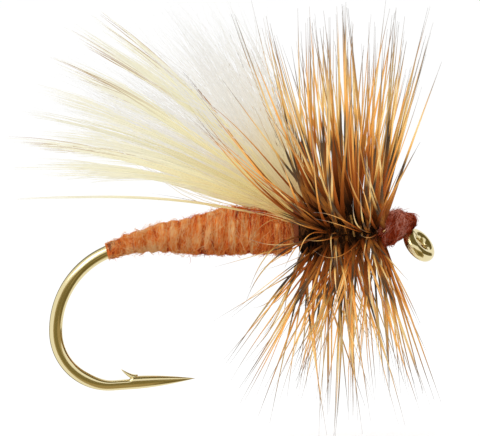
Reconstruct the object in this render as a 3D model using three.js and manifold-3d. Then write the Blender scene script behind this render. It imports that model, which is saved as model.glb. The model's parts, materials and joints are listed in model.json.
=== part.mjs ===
// A dry fly for trout, tied on a size 8 hook, in millimetres.
// +X runs forward along the hook's shank to the eye, +Z is up, and the hook's point lies below the shank.
// The origin is the centre of the hook's eye, where the line is tied on.
// Each mesh is one piece that a fly tyer would pick up: the hook, the thread's windings, the dubbing,
// the two tufts of the wing and the two hackle feathers.

import * as THREE from "three";
import { mergeVertices } from "three/addons/utils/BufferGeometryUtils.js";
import Module from "manifold-3d";

const wasm = await Module();
wasm.setup();

// ---------------------------------------------------------------------------
// Driving dimensions, in millimetres and degrees
// ---------------------------------------------------------------------------

// Hook
const wireDiameter = 0.64;
const shankLength = 10.82; // straight wire between the neck and the heel
const gape = 6.97; // between the axes of the shank and the spear
const heelRadius = 8.6;
const heelTurn = 22;
const throatRadius = 2.54;
const spearLength = 4.0;
const spearRise = 2.3; // the spear's slope towards the shank
const needleStart = 1.0; // where along the spear its taper begins
const forgedThickness = 0.5; // across the two flats pressed on the bend
const forgedLength = 6.0; // of wire that the press flattens, measured back from the spear
const eyeHole = 0.6;
const eyeWireDiameter = 0.52;
const eyePitch = 50; // how far the eye turns down from the shank
const eyeDrop = 0.7; // from the shank's axis down to the eye's centre
const barbPosition = 1.15; // the foot of the barb, along the spear
const barbLength = 0.6;
const barbHeight = 0.38; // the barb's tip above the wire
const barbThickness = 0.22;

// Thread and dubbing. A station is a distance along the wire, back from the eye's centre.
const fitGap = 0.03; // left between pieces that lie on each other
const threadThickness = 0.06;
const threadFront = 1.75;
const threadTail = 15.35;
const dubbingPitch = 0.62; // one turn of the dubbed strand
const dubbingGroove = 0.06; // between two turns
const abdomenTail = 15.05;
const abdomenFront = 6.65;
const abdomenTailRadius = 0.42;
const abdomenRadius = 1.12;
const abdomenFullest = 8.6; // the station where it is thickest
const abdomenHump = 0.24; // how far its thickest turn rides up over the shank
const thoraxRear = 5.5;
const thoraxFront = 2.0;
const thoraxRadius = 1.08;
const thoraxFullest = 4.6;
const thoraxTaper = 0.062; // how quickly it thins away from there
const headLength = 1.6;
const headRadius = 0.83;
const headCentre = 0.95; // the head's middle, behind the eye's centre
const headLift = 0.2; // the head's middle above the shank's axis

// Wing
const hairLength = 13.8;
const hairDiameter = 0.08;
const hairCount = 30;
const hairRise = [10, 38]; // the lowest and highest hair, above the shank
const hairSpread = 17; // to each side of the hook
const yarnLength = 11.4;
const yarnDiameter = 0.06;
const yarnCount = 30;
const yarnRise = [46, 76];
const yarnSpread = 15;
const yarnBow = 0.2;
const tuftWidth = 1.0; // of a tuft squeezed under the thread
const tuftLength = 0.85;
const hairButt = 0.7; // the height of the squeezed hair
const yarnButt = 0.4;
const lashingStation = 5.78;
const lashingWidth = 0.4;
const lashingThickness = 0.12;

// Hackle
const hackleTurns = 5;
const barbsPerTurn = 17.6;
const hackleBarbLength = 10.3;
const hackleBarbDiameter = 0.085;
const quillDiameter = 0.15;
const hackleLeanBack = 30; // of the rearmost barbs
const hackleLeanForward = 13; // of the foremost barbs
const hackleEndMargin = 0.14; // of bare dubbing at each end of the thorax

// Facets
const wireSides = 14;
const sleeveSides = 14;
const lashingSides = 20;
const fibreSides = 3;
const quillSteps = 14; // to a turn
const weldDistance = 1e-4; // vertices this near are one
const sliverWidth = 2e-3; // thinner facets, left where two pieces of one solid cross, are closed up

const wireRadius = wireDiameter / 2;
const degrees = THREE.MathUtils.degToRad;

// ---------------------------------------------------------------------------
// Solids and meshes
// ---------------------------------------------------------------------------

// A three.js geometry as a solid that can be joined and cut.
function solidOf(geometry) {
  const bare = geometry.clone();
  for (const name of Object.keys(bare.attributes)) {
    if (name !== "position") bare.deleteAttribute(name);
  }
  const merged = mergeVertices(bare, weldDistance);
  const index = merged.index.array;
  const corners = [];
  for (let i = 0; i < index.length; i += 3) {
    const [a, b, c] = [index[i], index[i + 1], index[i + 2]];
    if (a !== b && b !== c && c !== a) corners.push(a, b, c);
  }
  return new wasm.Manifold(
    new wasm.Mesh({
      numProp: 3,
      vertProperties: merged.attributes.position.array,
      triVerts: new Uint32Array(corners),
    }),
  );
}

// A solid back as a geometry.
function geometryOf(solid) {
  const mesh = solid.simplify(sliverWidth).getMesh();
  const points = new Float32Array(mesh.numVert * 3);
  for (let i = 0; i < mesh.numVert; i++) {
    const at = i * mesh.numProp;
    points.set(mesh.vertProperties.subarray(at, at + 3), i * 3);
  }
  return new THREE.BufferGeometry()
    .setAttribute("position", new THREE.BufferAttribute(points, 3))
    .setIndex(new THREE.BufferAttribute(mesh.triVerts, 1));
}

const joined = (solids) => solids.reduce((whole, solid) => whole.add(solid));

function piece(name, geometry, color, roughness, metalness = 0) {
  const flat = geometry.index ? geometry.toNonIndexed() : geometry;
  flat.computeVertexNormals();
  const material = new THREE.MeshStandardMaterial({
    color,
    roughness,
    metalness,
  });
  const mesh = new THREE.Mesh(flat, material);
  mesh.name = name;
  return mesh;
}

function polygon(radius, sides) {
  const corners = Array.from({ length: sides }, (_, k) => {
    const angle = ((k + 0.5) * 2 * Math.PI) / sides;
    return new THREE.Vector2(
      radius * Math.cos(angle),
      radius * Math.sin(angle),
    );
  });
  return new THREE.Shape(corners);
}

// The radius of a faceted bore that clears a round piece of this radius.
const boreRound = (radius) =>
  (radius + fitGap) / Math.cos(Math.PI / sleeveSides);

const smooth = (t) => {
  const u = THREE.MathUtils.clamp(t, 0, 1);
  return u * u * (3 - 2 * u);
};

// ---------------------------------------------------------------------------
// The wire's centre line, in the plane y = 0
// ---------------------------------------------------------------------------

const eyeRadius = (eyeHole + eyeWireDiameter) / 2; // of the ring's centre line
const pitch = degrees(eyePitch);
const neckRadius =
  (eyeDrop - eyeRadius * Math.sin(pitch)) / (1 - Math.cos(pitch));
const neckLength = neckRadius * pitch;
const neckBack = eyeRadius * Math.cos(pitch) + neckRadius * Math.sin(pitch);
const heel = degrees(heelTurn);
const bendRadius =
  (gape -
    heelRadius * (1 - Math.cos(heel)) -
    throatRadius * Math.cos(degrees(spearRise))) /
  Math.cos(heel);

// Each stretch turns left as it runs from the ring, up the neck, back along the shank,
// round the bend and out along the spear.
const arc = (radius, turn, steps) => ({ length: radius * turn, turn, steps });
const straight = (length) => ({ length, turn: 0, steps: 1 });
const stretches = [
  arc(neckRadius, pitch, 5),
  straight(shankLength),
  arc(heelRadius, heel, 4),
  arc(bendRadius, Math.PI / 2 - heel, 8),
  arc(throatRadius, Math.PI / 2 + degrees(spearRise), 10),
  straight(needleStart),
];
const formedLength = stretches.reduce((sum, { length }) => sum + length, 0);
const spearFoot = formedLength - needleStart;
const wireLength = spearFoot + spearLength;

// The point and heading at a distance along the wire from the ring.
function alongWire(distance) {
  let x = -eyeRadius * Math.cos(pitch);
  let z = eyeRadius * Math.sin(pitch);
  let heading = Math.PI - pitch;
  let left = distance;
  for (const [k, { length, turn }] of stretches.entries()) {
    const last = k === stretches.length - 1;
    const run = last ? left : Math.min(left, length);
    if (turn) {
      const radius = length / turn;
      const turned = run / radius;
      x += radius * (Math.sin(heading + turned) - Math.sin(heading));
      z += radius * (Math.cos(heading) - Math.cos(heading + turned));
      heading += turned;
    } else {
      x += run * Math.cos(heading);
      z += run * Math.sin(heading);
    }
    left -= run;
    if (left <= 0) break;
  }
  return {
    point: new THREE.Vector3(x, 0, z),
    tangent: new THREE.Vector3(Math.cos(heading), 0, Math.sin(heading)),
  };
}

// A station counts from the eye's centre, so that on the shank it is the distance behind it.
const atStation = (station) => alongWire(station - neckBack + neckLength);

// ---------------------------------------------------------------------------
// Turned pieces, bent along a line
// ---------------------------------------------------------------------------

// Moves a lathe's vertices so that its +Y axis follows a line: locate(y) gives a point and a tangent.
// The lathe's X goes across the line, and its Z goes to the line's upper side.
function bendAlong(geometry, locate, across) {
  const position = geometry.attributes.position;
  const vertex = new THREE.Vector3();
  for (let i = 0; i < position.count; i++) {
    vertex.fromBufferAttribute(position, i);
    const { point, tangent } = locate(vertex.y);
    const side = across
      .clone()
      .addScaledVector(tangent, -across.dot(tangent))
      .normalize();
    const up = side.clone().cross(tangent);
    point.addScaledVector(side, vertex.x).addScaledVector(up, vertex.z);
    position.setXYZ(i, point.x, point.y, point.z);
  }
  return geometry;
}

const acrossHook = new THREE.Vector3(0, 1, 0);

// A sleeve round the wire. The outline is a list of [station, outer radius] from front to tail.
function sleeve(outline, bore, lift = () => 0) {
  const outer = outline.map(
    ([station, radius]) => new THREE.Vector2(radius, station),
  );
  // The bore needs as many stations as the outside only where the wire is curved.
  const inner = outline
    .filter(([station], k) => {
      const end = k === 0 || k === outline.length - 1;
      return end || station > neckBack + shankLength - dubbingPitch;
    })
    .map(([station]) => new THREE.Vector2(bore, station))
    .reverse();
  const profile = [...outer, ...inner, outer[0].clone()];
  const turned = new THREE.LatheGeometry(profile, sleeveSides);
  const position = turned.attributes.position;
  for (let i = 0; i < position.count; i++) {
    const radius = Math.hypot(position.getX(i), position.getZ(i));
    if (radius > bore + weldDistance) {
      position.setZ(i, position.getZ(i) + lift(position.getY(i)));
    }
  }
  return bendAlong(turned, atStation, acrossHook);
}

// The outline of a wound strand: a ridge at the middle of each turn and a groove between two turns.
function wound({ front, tail, turns, groove, radiusAt }) {
  return Array.from({ length: 2 * turns + 1 }, (_, k) => {
    const station = THREE.MathUtils.lerp(front, tail, k / (2 * turns));
    return [station, radiusAt(station) - (k % 2 ? 0 : groove)];
  });
}

// A tapered fibre along a curve: a turned spike, bent to follow it.
function fibre(curve, rootDiameter, steps) {
  const length = curve.getLength();
  const profile = [new THREE.Vector2(0, 0)];
  for (let k = 0; k < steps; k++) {
    const t = k / steps;
    const radius = (rootDiameter / 2) * Math.sqrt(1 - t);
    profile.push(new THREE.Vector2(radius, t * length));
  }
  profile.push(new THREE.Vector2(0, length));
  const spike = new THREE.LatheGeometry(profile, fibreSides);
  const locate = (y) => {
    const t = THREE.MathUtils.clamp(y / length, 0, 1);
    return { point: curve.getPoint(t), tangent: curve.getTangent(t) };
  };
  return solidOf(bendAlong(spike, locate, new THREE.Vector3(0.6, 0.8, 0.05)));
}

// ---------------------------------------------------------------------------
// Hook: one wire, formed into eye, shank, bend and needle point
// ---------------------------------------------------------------------------

// The whole wire from the ring to the point, turned straight and then bent to shape.
// Extra thickness makes the tool that cuts a bore round it.
function wireGeometry(extra) {
  const radius = wireRadius + extra;
  const profile = [
    new THREE.Vector2(0, -extra),
    new THREE.Vector2(radius, -extra),
  ];
  let start = 0;
  for (const { length, steps } of stretches) {
    for (let k = 1; k <= steps; k++) {
      profile.push(new THREE.Vector2(radius, start + (length * k) / steps));
    }
    start += length;
  }
  const needleSteps = 6;
  for (let k = 1; k < needleSteps; k++) {
    const t = k / needleSteps;
    const along = THREE.MathUtils.lerp(formedLength, wireLength, t);
    profile.push(new THREE.Vector2(radius * (1 - Math.pow(t, 1.8)), along));
  }
  profile.push(new THREE.Vector2(0, wireLength));
  const turned = new THREE.LatheGeometry(profile, wireSides);
  return bendAlong(turned, alongWire, acrossHook);
}

function eyeRing(extra) {
  const ring = new THREE.TorusGeometry(
    eyeRadius,
    eyeWireDiameter / 2 + extra,
    10,
    18,
  );
  return ring.rotateY(pitch);
}

// The barb: a sliver of the wire cut loose at its tip and raised, pointing back at the bend.
function barb() {
  const foot = barbPosition;
  const buried = 0.6 * wireRadius;
  const outline = new THREE.Shape([
    new THREE.Vector2(foot + 0.12, buried),
    new THREE.Vector2(foot + 0.1, wireRadius),
    new THREE.Vector2(foot - barbLength * 0.35, wireRadius + barbHeight * 0.4),
    new THREE.Vector2(foot - barbLength, wireRadius + barbHeight),
    new THREE.Vector2(foot - barbLength * 0.5, wireRadius + barbHeight * 0.15),
    new THREE.Vector2(foot - barbLength * 0.4, buried),
  ]);
  return new THREE.ExtrudeGeometry(outline, {
    depth: barbThickness,
    bevelEnabled: false,
  }).translate(0, 0, -barbThickness / 2);
}

function hook() {
  const foot = alongWire(spearFoot).point;
  // The barb's X and Y turn onto the spear's heading and towards the shank.
  const spur = barb()
    .rotateX(Math.PI / 2)
    .rotateY(-degrees(spearRise))
    .translate(foot.x, 0, foot.z);
  let wire = joined([
    solidOf(wireGeometry(0)),
    solidOf(eyeRing(0)),
    solidOf(spur),
  ]);
  // Two press jaws leave the flats that a vice or a clip grips. Each box's upper front edge
  // is where the flats end.
  const start = alongWire(spearFoot - forgedLength).point;
  for (const side of [-1, 1]) {
    const jaw = new THREE.BoxGeometry(2 * gape, wireDiameter, 2 * gape);
    jaw.translate(
      foot.x - gape,
      (side * (forgedThickness + wireDiameter)) / 2,
      start.z - gape,
    );
    wire = wire.subtract(solidOf(jaw));
  }
  return piece("hook", geometryOf(wire), 0xb9a06a, 0.22, 1);
}

// ---------------------------------------------------------------------------
// Thread and dubbing
// ---------------------------------------------------------------------------

const threadBore = boreRound(wireRadius);
const threadRadius = threadBore + threadThickness;
const dubbingBore = boreRound(threadRadius);

// The bed of touching thread turns that grips everything else to the shank.
function threadBase() {
  const bare = wound({
    front: abdomenTail,
    tail: threadTail,
    turns: 3,
    groove: threadThickness / 3,
    radiusAt: () => threadRadius,
  });
  const heelStation = neckBack + shankLength;
  const covered = [0, 0.25, 0.5, 0.75].map((t) => [
    THREE.MathUtils.lerp(heelStation, abdomenTail, t),
    threadRadius,
  ]);
  const outline = [[threadFront, threadRadius], ...covered, ...bare];
  return piece("thread_base", sleeve(outline, threadBore), 0x6b2d1a, 0.6);
}

function abdomenRadiusAt(station) {
  const toTail = (station - abdomenFullest) / (abdomenTail - abdomenFullest);
  const toFront =
    (abdomenFullest - station) / (abdomenFullest - abdomenFront);
  const body =
    station > abdomenFullest
      ? THREE.MathUtils.lerp(abdomenRadius, abdomenTailRadius, toTail ** 1.15)
      : abdomenRadius * (1 - 0.5 * toFront ** 1.3);
  return Math.max(body, dubbingBore + dubbingGroove + fitGap);
}

// The abdomen: one dubbed strand wound up the shank, fatter turn by turn.
function abdomen() {
  const outline = wound({
    front: abdomenFront,
    tail: abdomenTail,
    turns: Math.round((abdomenTail - abdomenFront) / dubbingPitch),
    groove: dubbingGroove,
    radiusAt: abdomenRadiusAt,
  });
  const lift = (station) => {
    const behind = (station - abdomenFullest) / (abdomenTail - abdomenFullest);
    const ahead = (abdomenFullest - station) / (abdomenFullest - abdomenFront);
    return abdomenHump * (1 - smooth(1.25 * Math.max(behind, ahead)));
  };
  return piece(
    "abdomen_dubbing",
    sleeve(outline, dubbingBore, lift),
    0xbb7038,
    0.95,
  );
}

// The top of the thorax's ridges, which the quills are wound on.
const thoraxRadiusAt = (station) =>
  thoraxRadius - thoraxTaper * (station - thoraxFullest) ** 2;

function thorax() {
  const outline = wound({
    front: thoraxFront,
    tail: thoraxRear,
    turns: Math.round((thoraxRear - thoraxFront) / dubbingPitch),
    groove: dubbingGroove,
    radiusAt: thoraxRadiusAt,
  });
  return piece("thorax_dubbing", sleeve(outline, dubbingBore), 0x3a241a, 0.95);
}

// The turns of thread that hold the hackle tips down, under the head.
const tipLashingRadius = dubbingBore + lashingThickness;

function tipLashing() {
  const outline = wound({
    front: threadFront + fitGap,
    tail: thoraxFront - fitGap,
    turns: 2,
    groove: threadThickness / 3,
    radiusAt: () => tipLashingRadius,
  });
  return piece(
    "tip_lashing",
    sleeve(outline, boreRound(threadRadius)),
    0x5a2418,
    0.6,
  );
}

// The head: dubbing crowded up to the eye, hollow only where the wire and its ring pass.
function head() {
  const ball = new THREE.SphereGeometry(1, 16, 12)
    .rotateX(Math.PI / 2)
    .scale(headLength / 2, headRadius * 0.94, headRadius)
    .translate(-headCentre, 0, eyeDrop + headLift);
  const trim = new THREE.BoxGeometry(headLength, 2 * headLength, 2 * headLength);
  trim.translate(fitGap - threadFront - headLength / 2, 0, eyeDrop);
  const solid = solidOf(ball)
    .subtract(solidOf(trim))
    .subtract(solidOf(wireGeometry(fitGap)))
    .subtract(solidOf(eyeRing(fitGap)));
  return piece("head_dubbing", geometryOf(solid), 0x7a2618, 0.9);
}

// ---------------------------------------------------------------------------
// Wing: two tufts, squeezed on top of the shank by the wing lashing
// ---------------------------------------------------------------------------

const hairSeat = eyeDrop + threadRadius + fitGap + hairButt / 2;
const yarnSeat = hairSeat + hairButt / 2 + fitGap + yarnButt / 2;
const rootSpread = 0.4; // how much of the butt's width and height the roots take up, to each side
const crestAt = 0.3; // where a fibre bows most, as a share of its length

// Where a tuft's fibres leave its squeezed butt, just behind the thread that binds it.
const rootStationOf = (height) =>
  lashingStation + lashingWidth / 2 + fitGap + rootSpread * height;

// How far the lowest hair bows up to ride over the fullest turn of the abdomen.
function hairBow() {
  const root = rootStationOf(hairButt);
  const run = abdomenFullest - root;
  // A fibre is a quadratic curve. This is its parameter above the fullest turn.
  const inner = 2 * crestAt;
  const outer = 1 - inner;
  const t =
    (Math.sqrt(inner ** 2 + (4 * outer * run) / hairLength) - inner) /
    (2 * outer);
  const unbowed =
    hairSeat - rootSpread * hairButt + run * Math.tan(degrees(hairRise[0]));
  const needed =
    eyeDrop + abdomenHump + abdomenRadius + fitGap + hairDiameter / 2;
  return Math.max(0, (needed - unbowed) / (2 * t * (1 - t)));
}

// A tuft: fibres that fan back from a squeezed butt.
// The low ones rise and then bow over the abdomen. Sunflower spacing fills the fan evenly.
function tuft({ seat, height, count, length, diameter, rise, spread, bow }) {
  const rootStation = rootStationOf(height);
  const butt = new THREE.SphereGeometry(0.5, 12, 8)
    .rotateZ(Math.PI / 2)
    .scale(tuftLength, tuftWidth, height)
    .translate(tuftLength / 10 - rootStation, 0, seat);
  const goldenAngle = Math.PI * (3 - Math.sqrt(5));
  const middle = (rise[0] + rise[1]) / 2;
  const half = (rise[1] - rise[0]) / 2;
  const solids = [solidOf(butt)];
  for (let i = 0; i < count; i++) {
    const out = Math.sqrt((i + 0.5) / count);
    const high = out * Math.sin(i * goldenAngle);
    const wide = out * Math.cos(i * goldenAngle);
    const up = degrees(middle + half * high);
    const aside = degrees(spread * wide);
    const reach = length * (1 - 0.14 * (0.5 + 0.5 * Math.sin(i * 1.7)));
    const heading = new THREE.Vector3(
      -Math.cos(up) * Math.cos(aside),
      Math.cos(up) * Math.sin(aside),
      Math.sin(up),
    );
    // The roots lie as far apart as the butt allows, across the tuft's own direction.
    const offset = rootSpread * height * high;
    const root = new THREE.Vector3(
      offset * Math.sin(degrees(middle)) - rootStation,
      rootSpread * tuftWidth * wide,
      offset * Math.cos(degrees(middle)) + seat,
    );
    const tip = root.clone().addScaledVector(heading, reach);
    const crest = root.clone().addScaledVector(heading, reach * crestAt);
    crest.z += (bow * (1 - high)) / 2;
    const curve = new THREE.QuadraticBezierCurve3(root, crest, tip);
    solids.push(fibre(curve, diameter, 3));
  }
  return geometryOf(joined(solids));
}

function wing() {
  const hair = tuft({
    seat: hairSeat,
    height: hairButt,
    count: hairCount,
    length: hairLength,
    diameter: hairDiameter,
    rise: hairRise,
    spread: hairSpread,
    bow: hairBow(),
  });
  const yarn = tuft({
    seat: yarnSeat,
    height: yarnButt,
    count: yarnCount,
    length: yarnLength,
    diameter: yarnDiameter,
    rise: yarnRise,
    spread: yarnSpread,
    bow: yarnBow,
  });
  return [
    piece("hair_wing", hair, 0xe6d9a6, 0.55),
    piece("yarn_wing", yarn, 0xf2efe6, 0.6),
  ];
}

// An oval as wide as a tuft that takes in the shank below and both tufts above.
function lashingOval(extra) {
  const halfWidth = tuftWidth / 2 + fitGap + extra;
  const low = eyeDrop - threadRadius - fitGap - extra;
  const high = yarnSeat + yarnButt / 2 + fitGap + extra;
  // The oval is squarish, so that it clears the corners of what it binds.
  const square = (v) => Math.sign(v) * Math.pow(Math.abs(v), 0.4);
  const corners = Array.from({ length: lashingSides }, (_, k) => {
    const angle = (k * 2 * Math.PI) / lashingSides;
    return new THREE.Vector2(
      halfWidth * square(Math.cos(angle)),
      (low + high) / 2 + ((high - low) / 2) * square(Math.sin(angle)),
    );
  });
  return corners;
}

// The thread turns that bind both tufts to the shank.
function wingLashing() {
  const band = new THREE.Shape(lashingOval(lashingThickness));
  band.holes.push(new THREE.Path(lashingOval(0)));
  const wraps = new THREE.ExtrudeGeometry(band, {
    depth: lashingWidth,
    bevelEnabled: false,
  })
    .translate(0, 0, -lashingWidth / 2)
    .rotateX(Math.PI / 2)
    .rotateZ(Math.PI / 2)
    .translate(-lashingStation, 0, 0);
  return piece("wing_lashing", wraps, 0x6b2d1a, 0.6);
}

// ---------------------------------------------------------------------------
// Hackle: two feathers wound side by side round the thorax
// ---------------------------------------------------------------------------

const quillStation = (t) =>
  THREE.MathUtils.lerp(
    thoraxRear - hackleEndMargin,
    thoraxFront + hackleEndMargin,
    t,
  );

// The quill's centre line, a helix that lies on the thorax and clears it along each straight step too.
class QuillCurve extends THREE.Curve {
  constructor(phase) {
    super();
    this.phase = phase;
  }

  angle(t) {
    return this.phase + t * hackleTurns * 2 * Math.PI;
  }

  getPoint(t) {
    const station = quillStation(t);
    const lies = thoraxRadiusAt(station) + fitGap + quillDiameter / 2;
    const radius = lies / Math.cos(Math.PI / quillSteps);
    return new THREE.Vector3(
      -station,
      radius * Math.cos(this.angle(t)),
      eyeDrop + radius * Math.sin(this.angle(t)),
    );
  }
}

// A feather's barbs stand out of its quill, leaning back at the rear and forward at the head.
// The wing holds the upper rear barbs upright, and those below the hook are a little shorter.
function feather(name, phase, color) {
  const quill = new QuillCurve(phase);
  const stem = new THREE.ExtrudeGeometry(polygon(quillDiameter / 2, 5), {
    steps: hackleTurns * quillSteps,
    extrudePath: quill,
  });
  const solids = [solidOf(stem)];
  const count = Math.round(hackleTurns * barbsPerTurn);
  for (let k = 0; k < count; k++) {
    const t = (k + 0.5) / count;
    const angle = quill.angle(t);
    const upness = Math.sin(angle);
    const held = smooth((upness - 0.5) / 0.4);
    const back = hackleLeanBack * (1 - 0.6 * held);
    const lean = degrees(THREE.MathUtils.lerp(-back, hackleLeanForward, t));
    const shorter = upness < 0 ? 1 + 0.09 * upness : 1;
    const length =
      hackleBarbLength * shorter * (1 - 0.1 * Math.sin(k * 2.4) ** 2);
    const heading = new THREE.Vector3(
      Math.sin(lean),
      Math.cos(angle) * Math.cos(lean),
      upness * Math.cos(lean),
    );
    const root = quill.getPoint(t);
    const tip = root.clone().addScaledVector(heading, length);
    const curve = new THREE.LineCurve3(root, tip);
    solids.push(fibre(curve, hackleBarbDiameter, 1));
  }
  return piece(name, geometryOf(joined(solids)), color, 0.5);
}

// ---------------------------------------------------------------------------
// The fly
// ---------------------------------------------------------------------------

const fly = new THREE.Group();
fly.add(
  hook(),
  threadBase(),
  abdomen(),
  ...wing(),
  wingLashing(),
  thorax(),
  feather("brown_hackle", 0, 0xa8602c),
  feather("cree_hackle", Math.PI, 0xd9a65c),
  tipLashing(),
  head(),
);

export default fly;
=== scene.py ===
"""The looks of a dry fly for trout, tied on a size 8 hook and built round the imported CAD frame.

Everything is in metres in the part's own frame: +X runs forward along the hook's shank to the eye,
+Z is up, and the origin is the centre of the eye's hole. Each class is one thing that a tyer puts
on the hook. A station is a distance along the wire, back from the eye's centre.
"""

import json
import logging
import math
from abc import ABC, abstractmethod
from collections.abc import Mapping, Sequence
from dataclasses import dataclass
from enum import Enum
from functools import cache

import bpy
import numpy as np
from mathutils import Matrix, Vector

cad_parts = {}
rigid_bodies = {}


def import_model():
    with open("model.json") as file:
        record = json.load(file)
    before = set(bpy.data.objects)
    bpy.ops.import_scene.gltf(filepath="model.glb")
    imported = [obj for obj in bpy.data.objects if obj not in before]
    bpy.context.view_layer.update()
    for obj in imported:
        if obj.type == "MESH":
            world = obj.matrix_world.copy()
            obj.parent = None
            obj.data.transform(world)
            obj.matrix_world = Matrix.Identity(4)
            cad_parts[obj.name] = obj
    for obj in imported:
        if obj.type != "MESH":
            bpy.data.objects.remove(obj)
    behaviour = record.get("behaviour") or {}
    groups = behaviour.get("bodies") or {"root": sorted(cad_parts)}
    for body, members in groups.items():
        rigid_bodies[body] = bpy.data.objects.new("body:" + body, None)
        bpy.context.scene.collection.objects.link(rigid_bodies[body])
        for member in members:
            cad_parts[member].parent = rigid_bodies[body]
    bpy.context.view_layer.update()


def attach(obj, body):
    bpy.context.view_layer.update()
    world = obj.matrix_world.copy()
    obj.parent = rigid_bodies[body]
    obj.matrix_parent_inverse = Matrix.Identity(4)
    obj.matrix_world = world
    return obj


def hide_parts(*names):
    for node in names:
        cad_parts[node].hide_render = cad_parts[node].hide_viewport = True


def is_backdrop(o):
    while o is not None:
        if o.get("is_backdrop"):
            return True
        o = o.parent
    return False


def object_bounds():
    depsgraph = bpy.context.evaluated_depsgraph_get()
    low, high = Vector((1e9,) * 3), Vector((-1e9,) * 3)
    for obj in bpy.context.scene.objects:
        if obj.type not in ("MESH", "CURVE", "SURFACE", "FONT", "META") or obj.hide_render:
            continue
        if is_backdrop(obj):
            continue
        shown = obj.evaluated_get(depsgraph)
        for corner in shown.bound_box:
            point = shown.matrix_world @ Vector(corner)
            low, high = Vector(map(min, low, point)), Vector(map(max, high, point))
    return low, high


logging.basicConfig(level=logging.INFO, format="%(message)s")
log = logging.getLogger("dry_fly")

Tree = bpy.types.NodeTree
Node = bpy.types.Node
Socket = bpy.types.NodeSocket
Faces = list[list[int]]

MM = 0.001
TURN = 2 * math.pi
FIBRE_SIDES = 4
UP = np.array([0.0, 0.0, 1.0])
FORWARD = np.array([1.0, 0.0, 0.0])
ACROSS = np.array([0.0, 1.0, 0.0])


# ---------------------------------------------------------------------------
# Small tools
# ---------------------------------------------------------------------------


def smooth(amount: np.ndarray | float) -> np.ndarray:
    """Return an ease from 0 to 1 as the amount goes from 0 to 1."""
    held = np.clip(amount, 0.0, 1.0)
    return held * held * (3 - 2 * held)


def unit(vectors: np.ndarray) -> np.ndarray:
    """Return vectors, on the last axis, at length 1."""
    return vectors / np.maximum(np.linalg.norm(vectors, axis=-1, keepdims=True), 1e-12)


def squared_off(wave: np.ndarray, power: np.ndarray | float) -> np.ndarray:
    """Return a sine or cosine with fuller shoulders, the further its power is below 1."""
    return np.sign(wave) * np.abs(wave) ** power


def linear(colour: str) -> tuple[float, float, float, float]:
    """Turn an sRGB hex colour into linear light.

    Args:
        colour: A colour such as "#e2d4a0".

    Returns:
        Red, green, blue and an alpha of 1.
    """
    shares = [int(colour[at : at + 2], 16) / 255 for at in (1, 3, 5)]
    red, green, blue = (s / 12.92 if s <= 0.04045 else ((s + 0.055) / 1.055) ** 2.4 for s in shares)
    return red, green, blue, 1.0


@dataclass(frozen=True)
class Unevenness:
    """Smooth irregularity of a handmade thing, as a sum of slow waves through space.

    Args:
        seed: Which irregularity it is.
        size: The length of its waves along X, Y and Z, in metres.
        waves: How many waves are added.
    """

    seed: int
    size: tuple[float, float, float]
    waves: int = 14

    def at(self, points: np.ndarray) -> np.ndarray:
        """Find how uneven it is at some points.

        Args:
            points: Places whose last axis is X, Y, Z.

        Returns:
            A value of about -1 to 1 for each.
        """
        rng = np.random.default_rng(self.seed)
        turns = rng.normal(size=(self.waves, 3)) * TURN / np.array(self.size)
        phases = rng.uniform(0, TURN, self.waves)
        return np.sin(points @ turns.T + phases).sum(-1) / math.sqrt(self.waves)


def add_node(
    tree: Tree,
    kind: str,
    settings: Mapping[str, object] | None = None,
    inputs: Mapping[str | int, object] | None = None,
) -> Node:
    """Add a shader node with its settings and what goes into it.

    Args:
        tree: The tree that gets the node.
        kind: The node's type, such as "ShaderNodeMix".
        settings: Properties by name. "stops" gives a ramp its (place, hex colour) pairs.
        inputs: Constants, output sockets to link, or nodes whose first output is linked, by
            input name or number.

    Returns:
        The node.
    """
    made = tree.nodes.new(kind)
    for name, value in (settings or {}).items():
        if name != "stops":
            setattr(made, name, value)
            continue
        elements = made.color_ramp.elements
        while len(elements) < len(value):
            elements.new(1.0)
        for element, (place, colour) in zip(elements, value):
            element.position = place
            element.color = linear(colour)
    for name, value in (inputs or {}).items():
        source = value.outputs[0] if isinstance(value, Node) else value
        if isinstance(source, Socket):
            tree.links.new(source, made.inputs[name])
        else:
            made.inputs[name].default_value = source
    return made


def mesh_object(
    name: str, points: np.ndarray, faces: Faces, values: Mapping[str, np.ndarray]
) -> bpy.types.Object:
    """Make a smooth mesh object.

    Args:
        name: The piece's name.
        points: Its vertices, in metres.
        faces: Vertex numbers of each face.
        values: A number per vertex for each attribute that its finish reads.

    Returns:
        The object, linked to the scene.
    """
    mesh = bpy.data.meshes.new(name)
    mesh.from_pydata(points.reshape(-1, 3).tolist(), [], faces)
    for key, numbers in values.items():
        attribute = mesh.attributes.new(key, "FLOAT", "POINT")
        attribute.data.foreach_set("value", np.ravel(numbers).astype(np.float32))
    mesh.shade_smooth()
    made = bpy.data.objects.new(name, mesh)
    bpy.context.scene.collection.objects.link(made)
    return made


def tube_faces(rings: int, sides: int) -> Faces:
    """List the faces of a closed tube, made of rings of vertices that run round it clockwise.

    Args:
        rings: The number of rings.
        sides: The number of vertices in each.

    Returns:
        The vertex numbers of the walls, and then of the two ends.
    """
    ring, side = np.meshgrid(np.arange(rings - 1) * sides, np.arange(sides), indexing="ij")
    after = (side + 1) % sides
    walls = np.stack([ring + side, ring + sides + side, ring + sides + after, ring + after], -1)
    first = list(range(sides))
    last = [(rings - 1) * sides + side for side in reversed(range(sides))]
    return [*walls.reshape(-1, 4).tolist(), first, last]


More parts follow.
